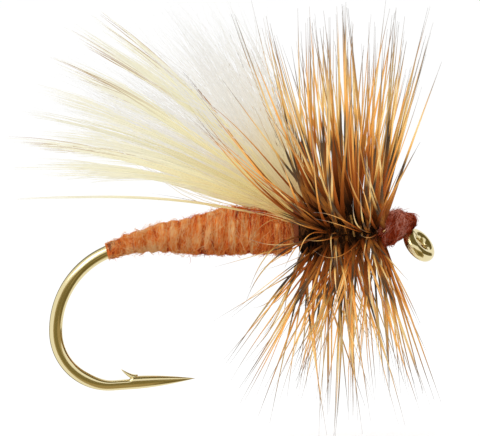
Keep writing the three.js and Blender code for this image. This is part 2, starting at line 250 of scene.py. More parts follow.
@dataclass
class FibreBundle:
    """Tapered fibres gathered into one mesh, each a closed spike that follows its own path.

    Args:
        paths: Points along each fibre, as (fibres, points, 3), in metres.
        radii: Half the width at each point, as (fibres, points), in metres.
        tones: A number from 0 to 1 for each fibre, which picks its shade.
        facing: The direction that a flattened fibre shows its narrow side to.
        flatness: The thickness as a share of the width.
    """

    paths: np.ndarray
    radii: np.ndarray
    tones: np.ndarray
    facing: np.ndarray
    flatness: float = 1.0

    def build(self, name: str) -> bpy.types.Object:
        """Make the bundle one object.

        Args:
            name: The piece's name.

        Returns:
            The mesh object, with the attributes along (0 at the root, 1 at the tip) and tone.
        """
        count, steps, _ = self.paths.shape
        run = unit(np.gradient(self.paths, axis=1))
        wide = unit(np.cross(run, self.facing))
        thick = np.cross(wide, run) * self.flatness
        angles = (np.arange(FIBRE_SIDES) * TURN / FIBRE_SIDES)[:, None]
        rings = wide[:, :, None] * np.cos(angles) + thick[:, :, None] * np.sin(angles)
        points = self.paths[:, :, None] + rings * self.radii[:, :, None, None]
        one = np.array(tube_faces(steps, FIBRE_SIDES))
        starts = np.arange(count) * steps * FIBRE_SIDES
        faces = (one[None] + starts[:, None, None]).reshape(-1, 4)
        along = np.broadcast_to(np.linspace(0, 1, steps)[None, :, None], points.shape[:3])
        tone = np.broadcast_to(self.tones[:, None, None], points.shape[:3])
        made = mesh_object(name, points, faces.tolist(), {"along": along, "tone": tone})
        self._lay_out(made.data, count, steps)
        return made

    @staticmethod
    def _lay_out(mesh: bpy.types.Mesh, count: int, steps: int) -> None:
        """Give each fibre a cell of its own in the map that a bake uses.

        Args:
            mesh: The bundle's mesh.
            count: The number of fibres.
            steps: The points along each.
        """
        columns = math.ceil(math.sqrt(count * 3))
        rows = math.ceil(count / columns)
        # The walls fill the top nine tenths of a cell, and both ends share the strip below them.
        ring, side = np.meshgrid(np.arange(steps - 1), np.arange(FIBRE_SIDES), indexing="ij")
        across = np.stack([side, side, side + 1, side + 1], -1) / FIBRE_SIDES
        length = 0.1 + 0.9 * np.stack([ring, ring + 1, ring + 1, ring], -1) / (steps - 1)
        walls = np.stack([across, length], -1).reshape(-1, 4, 2)
        end = np.array([[[0.0, 0.0], [1.0, 0.0], [1.0, 0.08], [0.0, 0.08]]])
        # A margin of 3 % keeps the cells apart.
        cell = np.concatenate([walls, end, end]) * 0.94 + 0.03
        fibre = np.arange(count)
        corner = np.stack([fibre % columns, fibre // columns], -1)
        places = (cell[None] + corner[:, None, None]) / np.array([columns, rows])
        layer = mesh.uv_layers.new(name="OFBake")
        layer.uv.foreach_set("vector", places.astype(np.float32).ravel())


# ---------------------------------------------------------------------------
# Finishes
# ---------------------------------------------------------------------------


class Finish(ABC):
    """A real surface finish, made as one material that every piece of that finish shares."""

    name: str

    @abstractmethod
    def surface(self, tree: Tree) -> Node:
        """Add the finish's nodes.

        Args:
            tree: The material's tree.

        Returns:
            The shader.
        """

    @cache
    def material(self) -> bpy.types.Material:
        """Make the finish's material, the first time that it is asked for.

        Returns:
            The material.
        """
        made = bpy.data.materials.new(self.name)
        made.use_nodes = True
        tree = made.node_tree
        tree.nodes.clear()
        add_node(tree, "ShaderNodeOutputMaterial", inputs={"Surface": self.surface(tree)})
        return made


def lit_through(tree: Tree, share: float, body: Mapping[str, object]) -> Node:
    """Add the shader of a thin fibre that glows a little with the light behind it.

    Args:
        tree: The material's tree.
        share: How much of the light goes through, from 0 to 1.
        body: What goes into the fibre's own surface, its "Base Color" among it.

    Returns:
        The shader.
    """
    front = add_node(tree, "ShaderNodeBsdfPrincipled", inputs=body)
    behind = add_node(tree, "ShaderNodeBsdfTranslucent", inputs={"Color": body["Base Color"]})
    return add_node(tree, "ShaderNodeMixShader", inputs={0: share, 1: front, 2: behind})


def seen_directly(tree: Tree) -> Node:
    """Tell rays from the camera, a mirror or clear glass from all others.

    Args:
        tree: The material's tree.

    Returns:
        A node that gives 1 for those rays and 0 for others.
    """
    path = add_node(tree, "ShaderNodeLightPath")
    pair = {0: path.outputs["Is Camera Ray"], 1: path.outputs["Is Glossy Ray"]}
    seen = add_node(tree, "ShaderNodeMath", {"operation": "MAXIMUM"}, pair)
    pair = {0: seen, 1: path.outputs["Is Transmission Ray"]}
    return add_node(tree, "ShaderNodeMath", {"operation": "MAXIMUM"}, pair)


@dataclass(frozen=True)
class BronzedWire(Finish):
    """Steel wire, drawn and bent, then lacquered a golden bronze.

    The lacquer gives the eye a pale gold mirror with olive shadows. The die's draw lines run along
    the wire and fray its highlights. They are drawn 0.06 mm apart, coarser than real ones, to show.
    """

    name: str = "lacquered_wire"
    lacquer: str = "#f2e6ba"
    thin_lacquer: str = "#dcca94"
    roughness: tuple[float, float] = (0.08, 0.17)
    line_spacing: float = 0.06 * MM
    line_length: float = 2.4 * MM

    def surface(self, tree: Tree) -> Node:
        """Stretch noise along the wire, and let it tint and roughen the lacquer.

        Args:
            tree: The material's tree.

        Returns:
            The shader.
        """
        place = {}
        for axis, (name, size) in enumerate((("run", self.line_length), ("girth", self.line_spacing))):
            metres = add_node(tree, "ShaderNodeAttribute", {"attribute_name": name}).outputs["Fac"]
            place[axis] = add_node(tree, "ShaderNodeMath", {"operation": "DIVIDE"}, {0: metres, 1: size})
        noise = {"Vector": add_node(tree, "ShaderNodeCombineXYZ", inputs=place)}
        noise |= {"Scale": 1.0, "Detail": 3.0}
        lines = add_node(tree, "ShaderNodeTexNoise", inputs=noise)
        tints = {"Factor": lines, "A": linear(self.lacquer), "B": linear(self.thin_lacquer)}
        colour = add_node(tree, "ShaderNodeMix", {"data_type": "RGBA"}, tints)
        smoothest, roughest = self.roughness
        span = {"From Min": 0.3, "From Max": 0.7, "To Min": smoothest, "To Max": roughest}
        rough = add_node(tree, "ShaderNodeMapRange", inputs={"Value": lines, **span})
        body = {"Base Color": colour.outputs["Result"], "Metallic": 1.0, "Roughness": rough}
        return add_node(tree, "ShaderNodeBsdfPrincipled", inputs=body)


@dataclass(frozen=True)
class WaxedThread(Finish):
    """Fine tying thread, twisted from filaments and waxed.

    The wax gives it a dull shine along each turn, and the filaments make it streaky. They are drawn
    0.06 mm wide, coarser than real ones, to show.
    """

    name: str = "waxed_thread"
    dyed: str = "#6a2e18"
    worn: str = "#a65c34"
    filament: float = 0.06 * MM
    roughness: float = 0.45
    shine: float = 0.2

    def surface(self, tree: Tree) -> Node:
        """Let the filaments mix the dyed and the worn colour.

        Args:
            tree: The material's tree.

        Returns:
            The shader.
        """
        place = add_node(tree, "ShaderNodeTexCoord").outputs["Object"]
        noise = {"Vector": place, "Scale": 1 / self.filament, "Detail": 2.0}
        filaments = add_node(tree, "ShaderNodeTexNoise", inputs=noise)
        tints = {"Factor": filaments, "A": linear(self.dyed), "B": linear(self.worn)}
        colour = add_node(tree, "ShaderNodeMix", {"data_type": "RGBA"}, tints).outputs["Result"]
        body = {"Base Color": colour, "Roughness": self.roughness, "Specular IOR Level": self.shine}
        return add_node(tree, "ShaderNodeBsdfPrincipled", inputs=body)


@dataclass(frozen=True)
class TwistedDubbing(Finish):
    """Fine fur dubbing, blended from dyed fibres and twisted on the thread.

    The blend gives streaks of several shades in one colour. The loose ends get a soft, lit edge from
    light through them and from a painted paler tone.

    Args:
        name: The material's name.
        shades: Hex colours from the darkest fibres to the palest.
        glow: How much light goes through a fibre.
        roughness: Of the fibres.
        fleck: The size of a clump of fibres of one dye.
        fleck_depth: How far a clump strays from its shade, on the scale of the shades from 0 to 1.
    """

    name: str
    shades: tuple[str, ...]
    glow: float = 0.25
    roughness: float = 0.85
    fleck: float = 0.22 * MM
    fleck_depth: float = 0.13

    def surface(self, tree: Tree) -> Node:
        """Look up each fibre's shade by its tone, with flecks where the blend is uneven.

        Args:
            tree: The material's tree.

        Returns:
            The shader.
        """
        last = len(self.shades) - 1
        stops = [(0.06 + 0.88 * k / last, shade) for k, shade in enumerate(self.shades)]
        place = add_node(tree, "ShaderNodeTexCoord").outputs["Object"]
        noise = {"Vector": place, "Scale": 1 / self.fleck, "Detail": 2.0}
        flecks = add_node(tree, "ShaderNodeTexNoise", inputs=noise)
        span = {"From Min": 0.3, "From Max": 0.7, "To Min": -self.fleck_depth, "To Max": self.fleck_depth}
        fleck = add_node(tree, "ShaderNodeMapRange", inputs={"Value": flecks, **span})
        tone = add_node(tree, "ShaderNodeAttribute", {"attribute_name": "tone"}).outputs["Fac"]
        shade = add_node(tree, "ShaderNodeMath", {"operation": "ADD"}, {0: tone, 1: fleck})
        colour = add_node(tree, "ShaderNodeValToRGB", {"stops": stops}, {0: shade})
        body = {"Base Color": colour, "Roughness": self.roughness, "Specular IOR Level": 0.0}
        return lit_through(tree, self.glow, body)


@dataclass(frozen=True)
class CombedFibre(Finish):
    """Hair or yarn, combed straight: pale, glossy along its length and partly see-through.

    Args:
        name: The material's name.
        root_to_tip: (place, hex colour) pairs along a fibre.
        tipped: The colour of the tips of the few fibres that kept their natural tip.
        tip_share: The share of fibres that kept it.
        roughness: Of the fibres.
        glow: How much light goes through a fibre.
        depth: The brightness of the darkest and of the palest fibre.
        tip_span: Where the natural tip starts along a fibre, and where it is complete.
    """

    name: str
    root_to_tip: tuple[tuple[float, str], ...]
    tipped: str
    tip_share: float
    roughness: float
    glow: float = 0.5
    depth: tuple[float, float] = (0.9, 1.06)
    tip_span: tuple[float, float] = (0.55, 0.95)

    def surface(self, tree: Tree) -> Node:
        """Colour a fibre along its length, and give a few their natural tip.

        Args:
            tree: The material's tree.

        Returns:
            The shader.
        """
        along = add_node(tree, "ShaderNodeAttribute", {"attribute_name": "along"}).outputs["Fac"]
        tone = add_node(tree, "ShaderNodeAttribute", {"attribute_name": "tone"}).outputs["Fac"]
        colour = add_node(tree, "ShaderNodeValToRGB", {"stops": self.root_to_tip}, {0: along})
        span = {"Value": tone, "To Min": self.depth[0], "To Max": self.depth[1]}
        depth = add_node(tree, "ShaderNodeMapRange", inputs=span)
        shaded = add_node(tree, "ShaderNodeHueSaturation", inputs={"Color": colour, "Value": depth})
        few = {0: tone, 1: 1 - self.tip_share}
        natural = add_node(tree, "ShaderNodeMath", {"operation": "GREATER_THAN"}, few)
        span = {"Value": along, "From Min": self.tip_span[0], "From Max": self.tip_span[1]}
        near_tip = add_node(tree, "ShaderNodeMapRange", inputs=span)
        brown = add_node(tree, "ShaderNodeMath", {"operation": "MULTIPLY"}, {0: natural, 1: near_tip})
        tints = {"Factor": brown, "A": shaded, "B": linear(self.tipped)}
        mixed = add_node(tree, "ShaderNodeMix", {"data_type": "RGBA"}, tints).outputs["Result"]
        body = {"Base Color": mixed, "Roughness": self.roughness, "Specular IOR Level": 0.1}
        return lit_through(tree, self.glow, body)


class Plumage(Enum):
    """The natural markings of a hackle feather, as (place along a barb, hex colour) pairs."""

    FURNACE = (
        (0.0, "#22120a"),
        (0.1, "#64300f"),
        (0.2, "#9c4e1c"),
        (0.34, "#b8682a"),
        (0.46, "#f4a44a"),
        (0.64, "#ffc674"),
        (0.77, "#e2aa6c"),
        (0.87, "#a8917c"),
        (1.0, "#a39c95"),
    )
    CREE = (
        (0.0, "#2e1c10"),
        (0.1, "#8a4c22"),
        (0.2, "#b4702e"),
        (0.29, "#6e5238"),
        (0.39, "#564636"),
        (0.49, "#f8be66"),
        (0.62, "#ffe09c"),
        (0.77, "#ecc086"),
        (0.87, "#ac9a86"),
        (1.0, "#a69f98"),
    )


@dataclass(frozen=True)
class StiffBarb(Finish):
    """A cock's hackle barb: a stiff, glossy blade of horn with the feather's own markings.

    Light goes through its thin edges, so it glows orange against a bright ground.

    Args:
        plumage: The feather's markings.
        glow: How much light goes through a barb.
        slip: How far the markings shift along a barb, as a share of its length.
        depth: The brightness of the darkest and of the palest barb.
        shuffle: Spreads the barbs' tones over their brightness in another order.
    """

    plumage: Plumage
    glow: float = 0.42
    slip: float = 0.09
    depth: tuple[float, float] = (0.58, 1.2)
    shuffle: float = 7.3

    @property
    def name(self) -> str:
        """Return the material's name."""
        return f"{self.plumage.name.lower()}_barb"

    def surface(self, tree: Tree) -> Node:
        """Mark a barb along its length, a little differently from its neighbours.

        Args:
            tree: The material's tree.

        Returns:
            The shader.
        """
        along = add_node(tree, "ShaderNodeAttribute", {"attribute_name": "along"}).outputs["Fac"]
        tone = add_node(tree, "ShaderNodeAttribute", {"attribute_name": "tone"}).outputs["Fac"]
        span = {"Value": tone, "To Min": -self.slip, "To Max": self.slip}
        slip = add_node(tree, "ShaderNodeMapRange", inputs=span)
        held = {"operation": "ADD", "use_clamp": True}
        place = add_node(tree, "ShaderNodeMath", held, {0: along, 1: slip})
        marked = add_node(tree, "ShaderNodeValToRGB", {"stops": self.plumage.value}, {0: place})
        many = add_node(tree, "ShaderNodeMath", {"operation": "MULTIPLY"}, {0: tone, 1: self.shuffle})
        shuffled = add_node(tree, "ShaderNodeMath", {"operation": "FRACT"}, {0: many})
        span = {"Value": shuffled, "To Min": self.depth[0], "To Max": self.depth[1]}
        depth = add_node(tree, "ShaderNodeMapRange", inputs=span)
        colour = add_node(tree, "ShaderNodeHueSaturation", inputs={"Color": marked, "Value": depth})
        body = {"Base Color": colour, "Roughness": 0.4, "Specular IOR Level": 0.12}
        return lit_through(tree, self.glow, body)


@dataclass(frozen=True)
class StudioPaper(Finish):
    """Matt white paper, lit until it is the same white as the ground behind it.

    Only the fly's own soft shadow darkens it.
    """

    name: str = "studio_paper"
    paper: str = "#d8d8d8"
    lit: float = 0.32

    def surface(self, tree: Tree) -> Node:
        """Add a little light of the paper's own to what it scatters.

        Args:
            tree: The material's tree.

        Returns:
            The shader.
        """
        sheet = add_node(tree, "ShaderNodeBsdfDiffuse", inputs={"Color": linear(self.paper)})
        some = {0: seen_directly(tree), 1: self.lit}
        level = add_node(tree, "ShaderNodeMath", {"operation": "MULTIPLY"}, some)
        glow = add_node(tree, "ShaderNodeEmission", inputs={"Strength": level})
        return add_node(tree, "ShaderNodeAddShader", inputs={0: sheet, 1: glow})


@dataclass(frozen=True)
class DullCard(Finish):
    """Dull card, bent round bright metal in a studio to put a shadow line on it."""

    name: str
    card: str

    def surface(self, tree: Tree) -> Node:
        """Return a shader that gives the card one even level."""
        return add_node(tree, "ShaderNodeEmission", inputs={"Color": linear(self.card), "Strength": 1.0})


# ---------------------------------------------------------------------------
# Studio
# ---------------------------------------------------------------------------


class Card(Enum):
    """Cards that show only in the wire: hex colour, distance, and the angles that each one fills.

    The angles are seen from the fly, in degrees: to the right of straight ahead, and above level.
    """

    LENS_SHADE = ("#84784e", 250 * MM, (-13.0, 9.0), (-16.0, 8.0))
    TABLE_SHADE = ("#766a42", 260 * MM, (9.0, 52.0), (-50.0, -9.0))
    SIDE_WALL = ("#ac9a70", 280 * MM, (-24.0, 62.0), (-66.0, 5.0))
    RIGHT_WALL = ("#6e6440", 280 * MM, (62.0, 125.0), (-8.0, 46.0))
    FAR_WALL = ("#8c8878", 280 * MM, (-168.0, -116.0), (-50.0, 60.0))
    CEILING = ("#6e6440", 280 * MM, (-24.0, 150.0), (35.0, 112.0))


@dataclass
class Studio:
    """The camera, the lamps and the white paper round the fly. Its angles are in degrees."""

    camera_distance: float = 400 * MM
    field_width: float = 23.04 * MM
    looks_at: tuple[float, float, float] = (-8.55 * MM, 0.0, 1.54 * MM)
    clip: tuple[float, float] = (10 * MM, 10000 * MM)
    elevation: float = 3.0
    roll: float = 1.6
    key_power: float = 0.26
    key_size: float = 160 * MM
    key_place: tuple[float, float, float] = (-170 * MM, -190 * MM, 190 * MM)
    floor_reach: float = 1500 * MM
    floor_gap: float = 0.2 * MM
    card_grid: tuple[int, int] = (16, 24)

    def build(self) -> None:
        """Set up the whole studio."""
        bpy.context.scene.view_settings.view_transform = "Standard"
        self._camera()
        self._sky()
        self._key_lamp()
        self._floor()
        for card in Card:
            self._card(card)

    def _camera(self) -> None:
        """Put a long lens at the side of the fly, rolled so that the shank rises a little."""
        lens = bpy.data.cameras.new("side_camera")
        lens.lens = lens.sensor_width * self.camera_distance / self.field_width
        lens.clip_start, lens.clip_end = self.clip
        tilt, roll = math.radians(self.elevation), math.radians(self.roll)
        back = Vector((0, -math.cos(tilt), math.sin(tilt)))
        level_up = Vector((0, math.sin(tilt), math.cos(tilt)))
        right = Vector((1, 0, 0)) * math.cos(roll) - level_up * math.sin(roll)
        up = Vector((1, 0, 0)) * math.sin(roll) + level_up * math.cos(roll)
        camera = bpy.data.objects.new("side_camera", lens)
        turned = Matrix((right, up, back)).transposed().to_4x4()
        place = Vector(self.looks_at) + back * self.camera_distance
        camera.matrix_world = Matrix.Translation(place) @ turned
        bpy.context.scene.collection.objects.link(camera)
        bpy.context.scene.camera = camera

    def _sky(self) -> None:
        """Surround the fly with even light, which looks pure white."""
        world = bpy.data.worlds.new("white_studio")
        world.use_nodes = True
        tree = world.node_tree
        tree.nodes.clear()
        light = {"Color": linear("#ffffff"), "Strength": 1.0}
        sky = add_node(tree, "ShaderNodeBackground", inputs=light)
        add_node(tree, "ShaderNodeOutputWorld", inputs={"Surface": sky})
        bpy.context.scene.world = world

    def _key_lamp(self) -> None:
        """Hang a soft box above the tail, in front."""
        lamp = bpy.data.lights.new("soft_box", "AREA")
        lamp.energy = self.key_power
        lamp.size = self.key_size
        box = bpy.data.objects.new("soft_box", lamp)
        box.location = self.key_place
        aim = Vector(self.looks_at) - box.location
        box.rotation_euler = aim.to_track_quat("-Z", "Y").to_euler()
        bpy.context.scene.collection.objects.link(box)

    def _floor(self) -> None:
        """Lay the paper just under the lowest barbs."""
        low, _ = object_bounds()
        corners = np.array([[-1, -1, 0], [1, -1, 0], [1, 1, 0], [-1, 1, 0]]) * self.floor_reach
        corners[:, 2] = low.z - self.floor_gap
        floor = mesh_object("paper_floor", corners, [[0, 1, 2, 3]], {})
        floor.data.materials.append(StudioPaper().material())
        floor.visible_glossy = False
        floor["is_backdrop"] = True

    def _card(self, card: Card) -> None:
        """Bend a card round the fly, where it shows only in the wire.

        Args:
            card: Its colour and place.
        """
        colour, distance, aside, above = card.value
        columns, rows = self.card_grid
        azimuth = np.radians(np.linspace(*aside, columns))
        height = np.radians(np.linspace(*above, rows))[:, None]
        x = np.cos(height) * np.sin(azimuth)
        y = -np.cos(height) * np.cos(azimuth)
        z = np.sin(height) * np.ones(columns)
        points = np.array(self.looks_at) + np.stack([x, y, z], -1) * distance
        row, column = np.meshgrid(np.arange(rows - 1), np.arange(columns - 1), indexing="ij")
        first = row * columns + column
        faces = np.stack([first, first + 1, first + columns + 1, first + columns], -1)
        name = card.name.lower()
        made = mesh_object(name, points, faces.reshape(-1, 4).tolist(), {})
        made.data.materials.append(DullCard(name, colour).material())
        made.visible_camera = False
        made.visible_diffuse = False
        made.visible_transmission = False
        made.visible_shadow = False
        made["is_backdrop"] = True


# ---------------------------------------------------------------------------
# Hook
# ---------------------------------------------------------------------------


@dataclass(frozen=True)
class WirePath:
    """The centre line of the hook's wire: ring, neck, shank, bend and spear, in the plane y = 0."""

    wire_diameter: float = 0.64 * MM
    shank_length: float = 10.82 * MM
    gape: float = 6.97 * MM
    heel_radius: float = 8.6 * MM
    heel_turn: float = math.radians(22)
    throat_radius: float = 2.54 * MM
    spear_length: float = 4.0 * MM
    spear_rise: float = math.radians(2.3)
    ring_radius: float = 0.56 * MM
    eye_pitch: float = math.radians(50)
    eye_drop: float = 0.7 * MM

    @property
    def neck_radius(self) -> float:
        """Return the bend radius of the neck."""
        drop = self.eye_drop - self.ring_radius * math.sin(self.eye_pitch)
        return drop / (1 - math.cos(self.eye_pitch))

    @property
    def neck_back(self) -> float:
        """Return the station where the shank begins."""
        return self.ring_radius * math.cos(self.eye_pitch) + self.neck_radius * math.sin(self.eye_pitch)

    @property
    def stretches(self) -> tuple[tuple[float, float], ...]:
        """Divide the wire into straight and evenly bent stretches.

        Returns:
            (length, turn) of each, from the ring to the point.
        """
        heel_drop = self.heel_radius * (1 - math.cos(self.heel_turn))
        throat_drop = self.throat_radius * math.cos(self.spear_rise)
        bend_radius = (self.gape - heel_drop - throat_drop) / math.cos(self.heel_turn)
        bend_turn = math.pi / 2 - self.heel_turn
        throat_turn = math.pi / 2 + self.spear_rise
        return (
            (self.neck_radius * self.eye_pitch, self.eye_pitch),
            (self.shank_length, 0.0),
            (self.heel_radius * self.heel_turn, self.heel_turn),
            (bend_radius * bend_turn, bend_turn),
            (self.throat_radius * throat_turn, throat_turn),
            (self.spear_length, 0.0),
        )

    @property
    def length(self) -> float:
        """Return the wire's length from the ring to the point."""
        return sum(length for length, _ in self.stretches)

    def follow(self, distances: np.ndarray) -> tuple[np.ndarray, np.ndarray]:
        """Follow the wire.

        Args:
            distances: Lengths of wire from the ring, in metres.

        Returns:
            The points, and the wire's headings there.
        """
        left = np.array(distances, float)
        x = np.full(left.shape, -self.ring_radius * math.cos(self.eye_pitch))
        z = np.full(left.shape, self.ring_radius * math.sin(self.eye_pitch))
        heading = np.full(left.shape, math.pi - self.eye_pitch)
        for length, turn in self.stretches:
            run = np.clip(left, 0, length)
            if turn:
                after = heading + turn * run / length
                radius = length / turn
                x = x + radius * (np.sin(after) - np.sin(heading))
                z = z + radius * (np.cos(heading) - np.cos(after))
                heading = after
            else:
                x = x + run * np.cos(heading)
                z = z + run * np.sin(heading)
            left = left - run
        still = np.zeros_like(x)
        return np.stack([x, still, z], -1), np.stack([np.cos(heading), still, np.sin(heading)], -1)

    def at_station(self, stations: np.ndarray) -> tuple[np.ndarray, np.ndarray]:
        """Return points at stations, and the directions there that are square to the wire and up."""
        from_ring = np.asarray(stations) - self.neck_back + self.neck_radius * self.eye_pitch
        points, headings = self.follow(from_ring)
        return points, np.cross(ACROSS, headings)


class SubAssembly(ABC):
    """Something that the tyer puts on the hook in one go."""

    wire = WirePath()

    @abstractmethod
    def build(self) -> None:
        """Build the sub-assembly's pieces and dress them."""

    @staticmethod
    def fit(piece: bpy.types.Object, node: str, slot: str, finish: Finish) -> None:
        """Dress a piece and let it stand for its CAD node.

        Args:
            piece: The finished mesh object.
            node: The CAD node that it replaces.
            slot: The record's material slot; not used.
            finish: The finish that it gets.
        """
        piece.data.materials.append(finish.material())
        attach(piece, "root")
        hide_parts(node)
        log.info("%s: %d faces, for %s", piece.name, len(piece.data.polygons), node)


@dataclass
class SweptWire:
    """A stretch of wire, as a line and the section that is swept along it.

    Args:
        centres: The line's points.
        across: A direction square to the line at each point.
        up: The other square direction.
        runs: The distance along the line at each point.
        shape: The section at each point as (points, sides, 2), along across and up, in metres.
    """

    centres: np.ndarray
    across: np.ndarray
    up: np.ndarray
    runs: np.ndarray
    shape: np.ndarray

    @property
    def vertices(self) -> np.ndarray:
        """Return the vertices, ring by ring."""
        rings = self.across[:, None] * self.shape[..., :1] + self.up[:, None] * self.shape[..., 1:]
        return (self.centres[:, None] + rings).reshape(-1, 3)

    @property
    def faces(self) -> Faces:
        """Return the faces of the tube."""
        return tube_faces(len(self.centres), self.shape.shape[1])

    def places(self, diameter: float) -> tuple[np.ndarray, np.ndarray]:
        """Return each vertex's distances along the wire and round it, at the wire's diameter."""
        sides = self.shape.shape[1]
        girth = np.arange(sides) * TURN * diameter / 2 / sides
        return np.repeat(self.runs, sides), np.tile(girth, len(self.centres))


@dataclass
class HookWire(SubAssembly):
    """The hook: one wire, with a forged bend, a cut barb, a needle point and a rolled eye.

    The notch is what the barb was cut out of. Its start and stop are distances behind the barb, and
    its fade and step are the lengths over which it deepens and ends.
    """

    sides: int = 40
    steps: int = 420
    forged_half: float = 0.25 * MM
    forged_length: float = 6.0 * MM
    forging_fade: float = 1.6 * MM
    forged_corners: float = 0.2
    needle_length: float = 3.0 * MM
    needle_curve: float = 1.8
    needle_tip: float = 0.004 * MM
    barb_position: float = 1.15 * MM
    barb_root: float = 0.08 * MM
    barb_length: float = 0.76 * MM
    barb_height: float = 0.4 * MM
    barb_half: float = 0.15 * MM
    barb_tip: float = 0.006 * MM
    barb_steps: int = 14
    barb_sides: int = 16
    notch_depth: float = 0.14 * MM
    notch_start: float = 2.6 * MM
    notch_fade: float = 1.6 * MM
    notch_stop: float = 0.35 * MM
    notch_step: float = 0.25 * MM
    ring_radius: float = 0.61 * MM
    ring_wire: float = 0.62 * MM
    ring_roll: float = math.radians(24)
    ring_ends: tuple[float, float] = (0.12, TURN - 0.02)
    ring_steps: int = 72
    ring_sides: int = 28

    def build(self) -> None:
        """Build the wire, the ring and the barb as one piece."""
        parts = [self._shank_and_bend(), self._ring(), self._barb()]
        places = [part.places(self.wire.wire_diameter) for part in parts]
        runs, girths = (np.concatenate(values) for values in zip(*places))
        faces: Faces = []
        start = 0
        for part in parts:
            faces += [[corner + start for corner in face] for face in part.faces]
            start += len(part.vertices)
        points = np.concatenate([part.vertices for part in parts])
        hook = mesh_object("forged_hook", points, faces, {"run": runs, "girth": girths})
        self.fit(hook, "hook", "bronzed_wire", BronzedWire())

    @staticmethod
    def _round(sides: int) -> np.ndarray:
        """Return a round section of radius 1, as (sides, 2)."""
        turn = -np.arange(sides) * TURN / sides
        return np.stack([np.cos(turn), np.sin(turn)], -1)

    def _shank_and_bend(self) -> SweptWire:
        """Sweep the wire from the ring to the point.

        Returns:
            The swept wire.
        """
        wire = self.wire
        # The steps crowd together towards the point, whose taper curves.
        share = np.linspace(0, 1, self.steps)
        distance = wire.length * (1.08 * share - 0.08 * share**9)
        distance[-1] = wire.length
        centres, headings = wire.follow(distance)
        foot = wire.length - wire.spear_length
        to_point = np.clip((distance - (wire.length - self.needle_length)) / self.needle_length, 0, 1)
        radius = wire.wire_diameter / 2 * (1 - to_point**self.needle_curve)
        radius = np.maximum(radius, self.needle_tip)[:, None]
        # The press flattens both sides of the bend, which squares the wire's section off a little.
        start = foot - self.forged_length
        pressed = smooth((distance - start + self.forging_fade) / self.forging_fade)[:, None]
        thinner = 1 - (1 - 2 * self.forged_half / wire.wire_diameter) * pressed
        squarer = 1 - self.forged_corners * pressed
        angle = -np.arange(self.sides) * TURN / self.sides
        sideways = radius * thinner * squared_off(np.cos(angle), squarer)
        upward = radius * squared_off(np.sin(angle), squarer)
        # The barb was cut out of the inner side, so the wire behind it is a little thinner.
        behind = distance - foot - self.barb_position
        cut = smooth((behind + self.notch_start) / self.notch_fade)
        cut = cut * (1 - smooth((behind + self.notch_stop) / self.notch_step))
        inner = np.maximum(upward, 0) / (wire.wire_diameter / 2)
        upward = upward - self.notch_depth * cut[:, None] * inner
        across = np.broadcast_to(ACROSS, centres.shape)
        shape = np.stack([sideways, upward], -1)
        return SweptWire(centres, across, np.cross(headings, ACROSS), distance, shape)

    def _ring(self) -> SweptWire:
        """Sweep the eye, a ring that closes against the neck and is rolled a little out of line.

        Returns:
            The swept wire.
        """
        pitch = self.wire.eye_pitch
        pitched = np.array([math.cos(pitch), 0, -math.sin(pitch)])
        square = np.array([math.sin(pitch), 0, math.cos(pitch)])
        side = -ACROSS * math.cos(self.ring_roll) - square * math.sin(self.ring_roll)
        angle = np.linspace(*self.ring_ends, self.ring_steps)[:, None]
        out = -pitched * np.cos(angle) + side * np.sin(angle)
        along = pitched * np.sin(angle) + side * np.cos(angle)
        section = self._round(self.ring_sides) * self.ring_wire / 2
        shape = np.broadcast_to(section, (self.ring_steps, self.ring_sides, 2))
        runs = angle[:, 0] * self.ring_radius
        return SweptWire(out * self.ring_radius, out, -np.cross(out, along), runs, shape)

    def _barb(self) -> SweptWire:
        """Sweep the barb, a sliver lifted from the inner side that points back at the bend.

        Returns:
            The swept wire.
        """
        wire = self.wire
        foot = wire.length - wire.spear_length + self.barb_position
        centre, heading = wire.follow(np.array([foot]))
        inward = np.cross(heading[0], ACROSS)
        share = np.linspace(0, 1, self.barb_steps)
        back = self.barb_length * share
        rise = wire.wire_diameter / 2 * 0.72 + self.barb_height * (0.12 * share + 1.02 * share**1.8)
        thick = self.barb_half * (1 - share) ** 0.8 + self.barb_tip
        wide = self.barb_half * (1 - share**1.6) + self.barb_tip
        centres = centre + heading * (self.barb_root - back[:, None]) + inward * rise[:, None]
        up = np.cross(unit(np.gradient(centres, axis=0)), ACROSS)
        shape = self._round(self.barb_sides) * np.stack([wide, thick], -1)[:, None]
        return SweptWire(centres, np.broadcast_to(ACROSS, centres.shape), up, back, shape)


# ---------------------------------------------------------------------------
# Thread
# ---------------------------------------------------------------------------


class Winding(Enum):
    """A place where the thread is wound, as (CAD node, front station, tail station, turns)."""

    BASE = ("thread_base", 1.75 * MM, 14.9 * MM, 145)
    WING = ("wing_lashing", 5.58 * MM, 5.98 * MM, 7)
    TIPS = ("tip_lashing", 1.78 * MM, 1.97 * MM, 4)


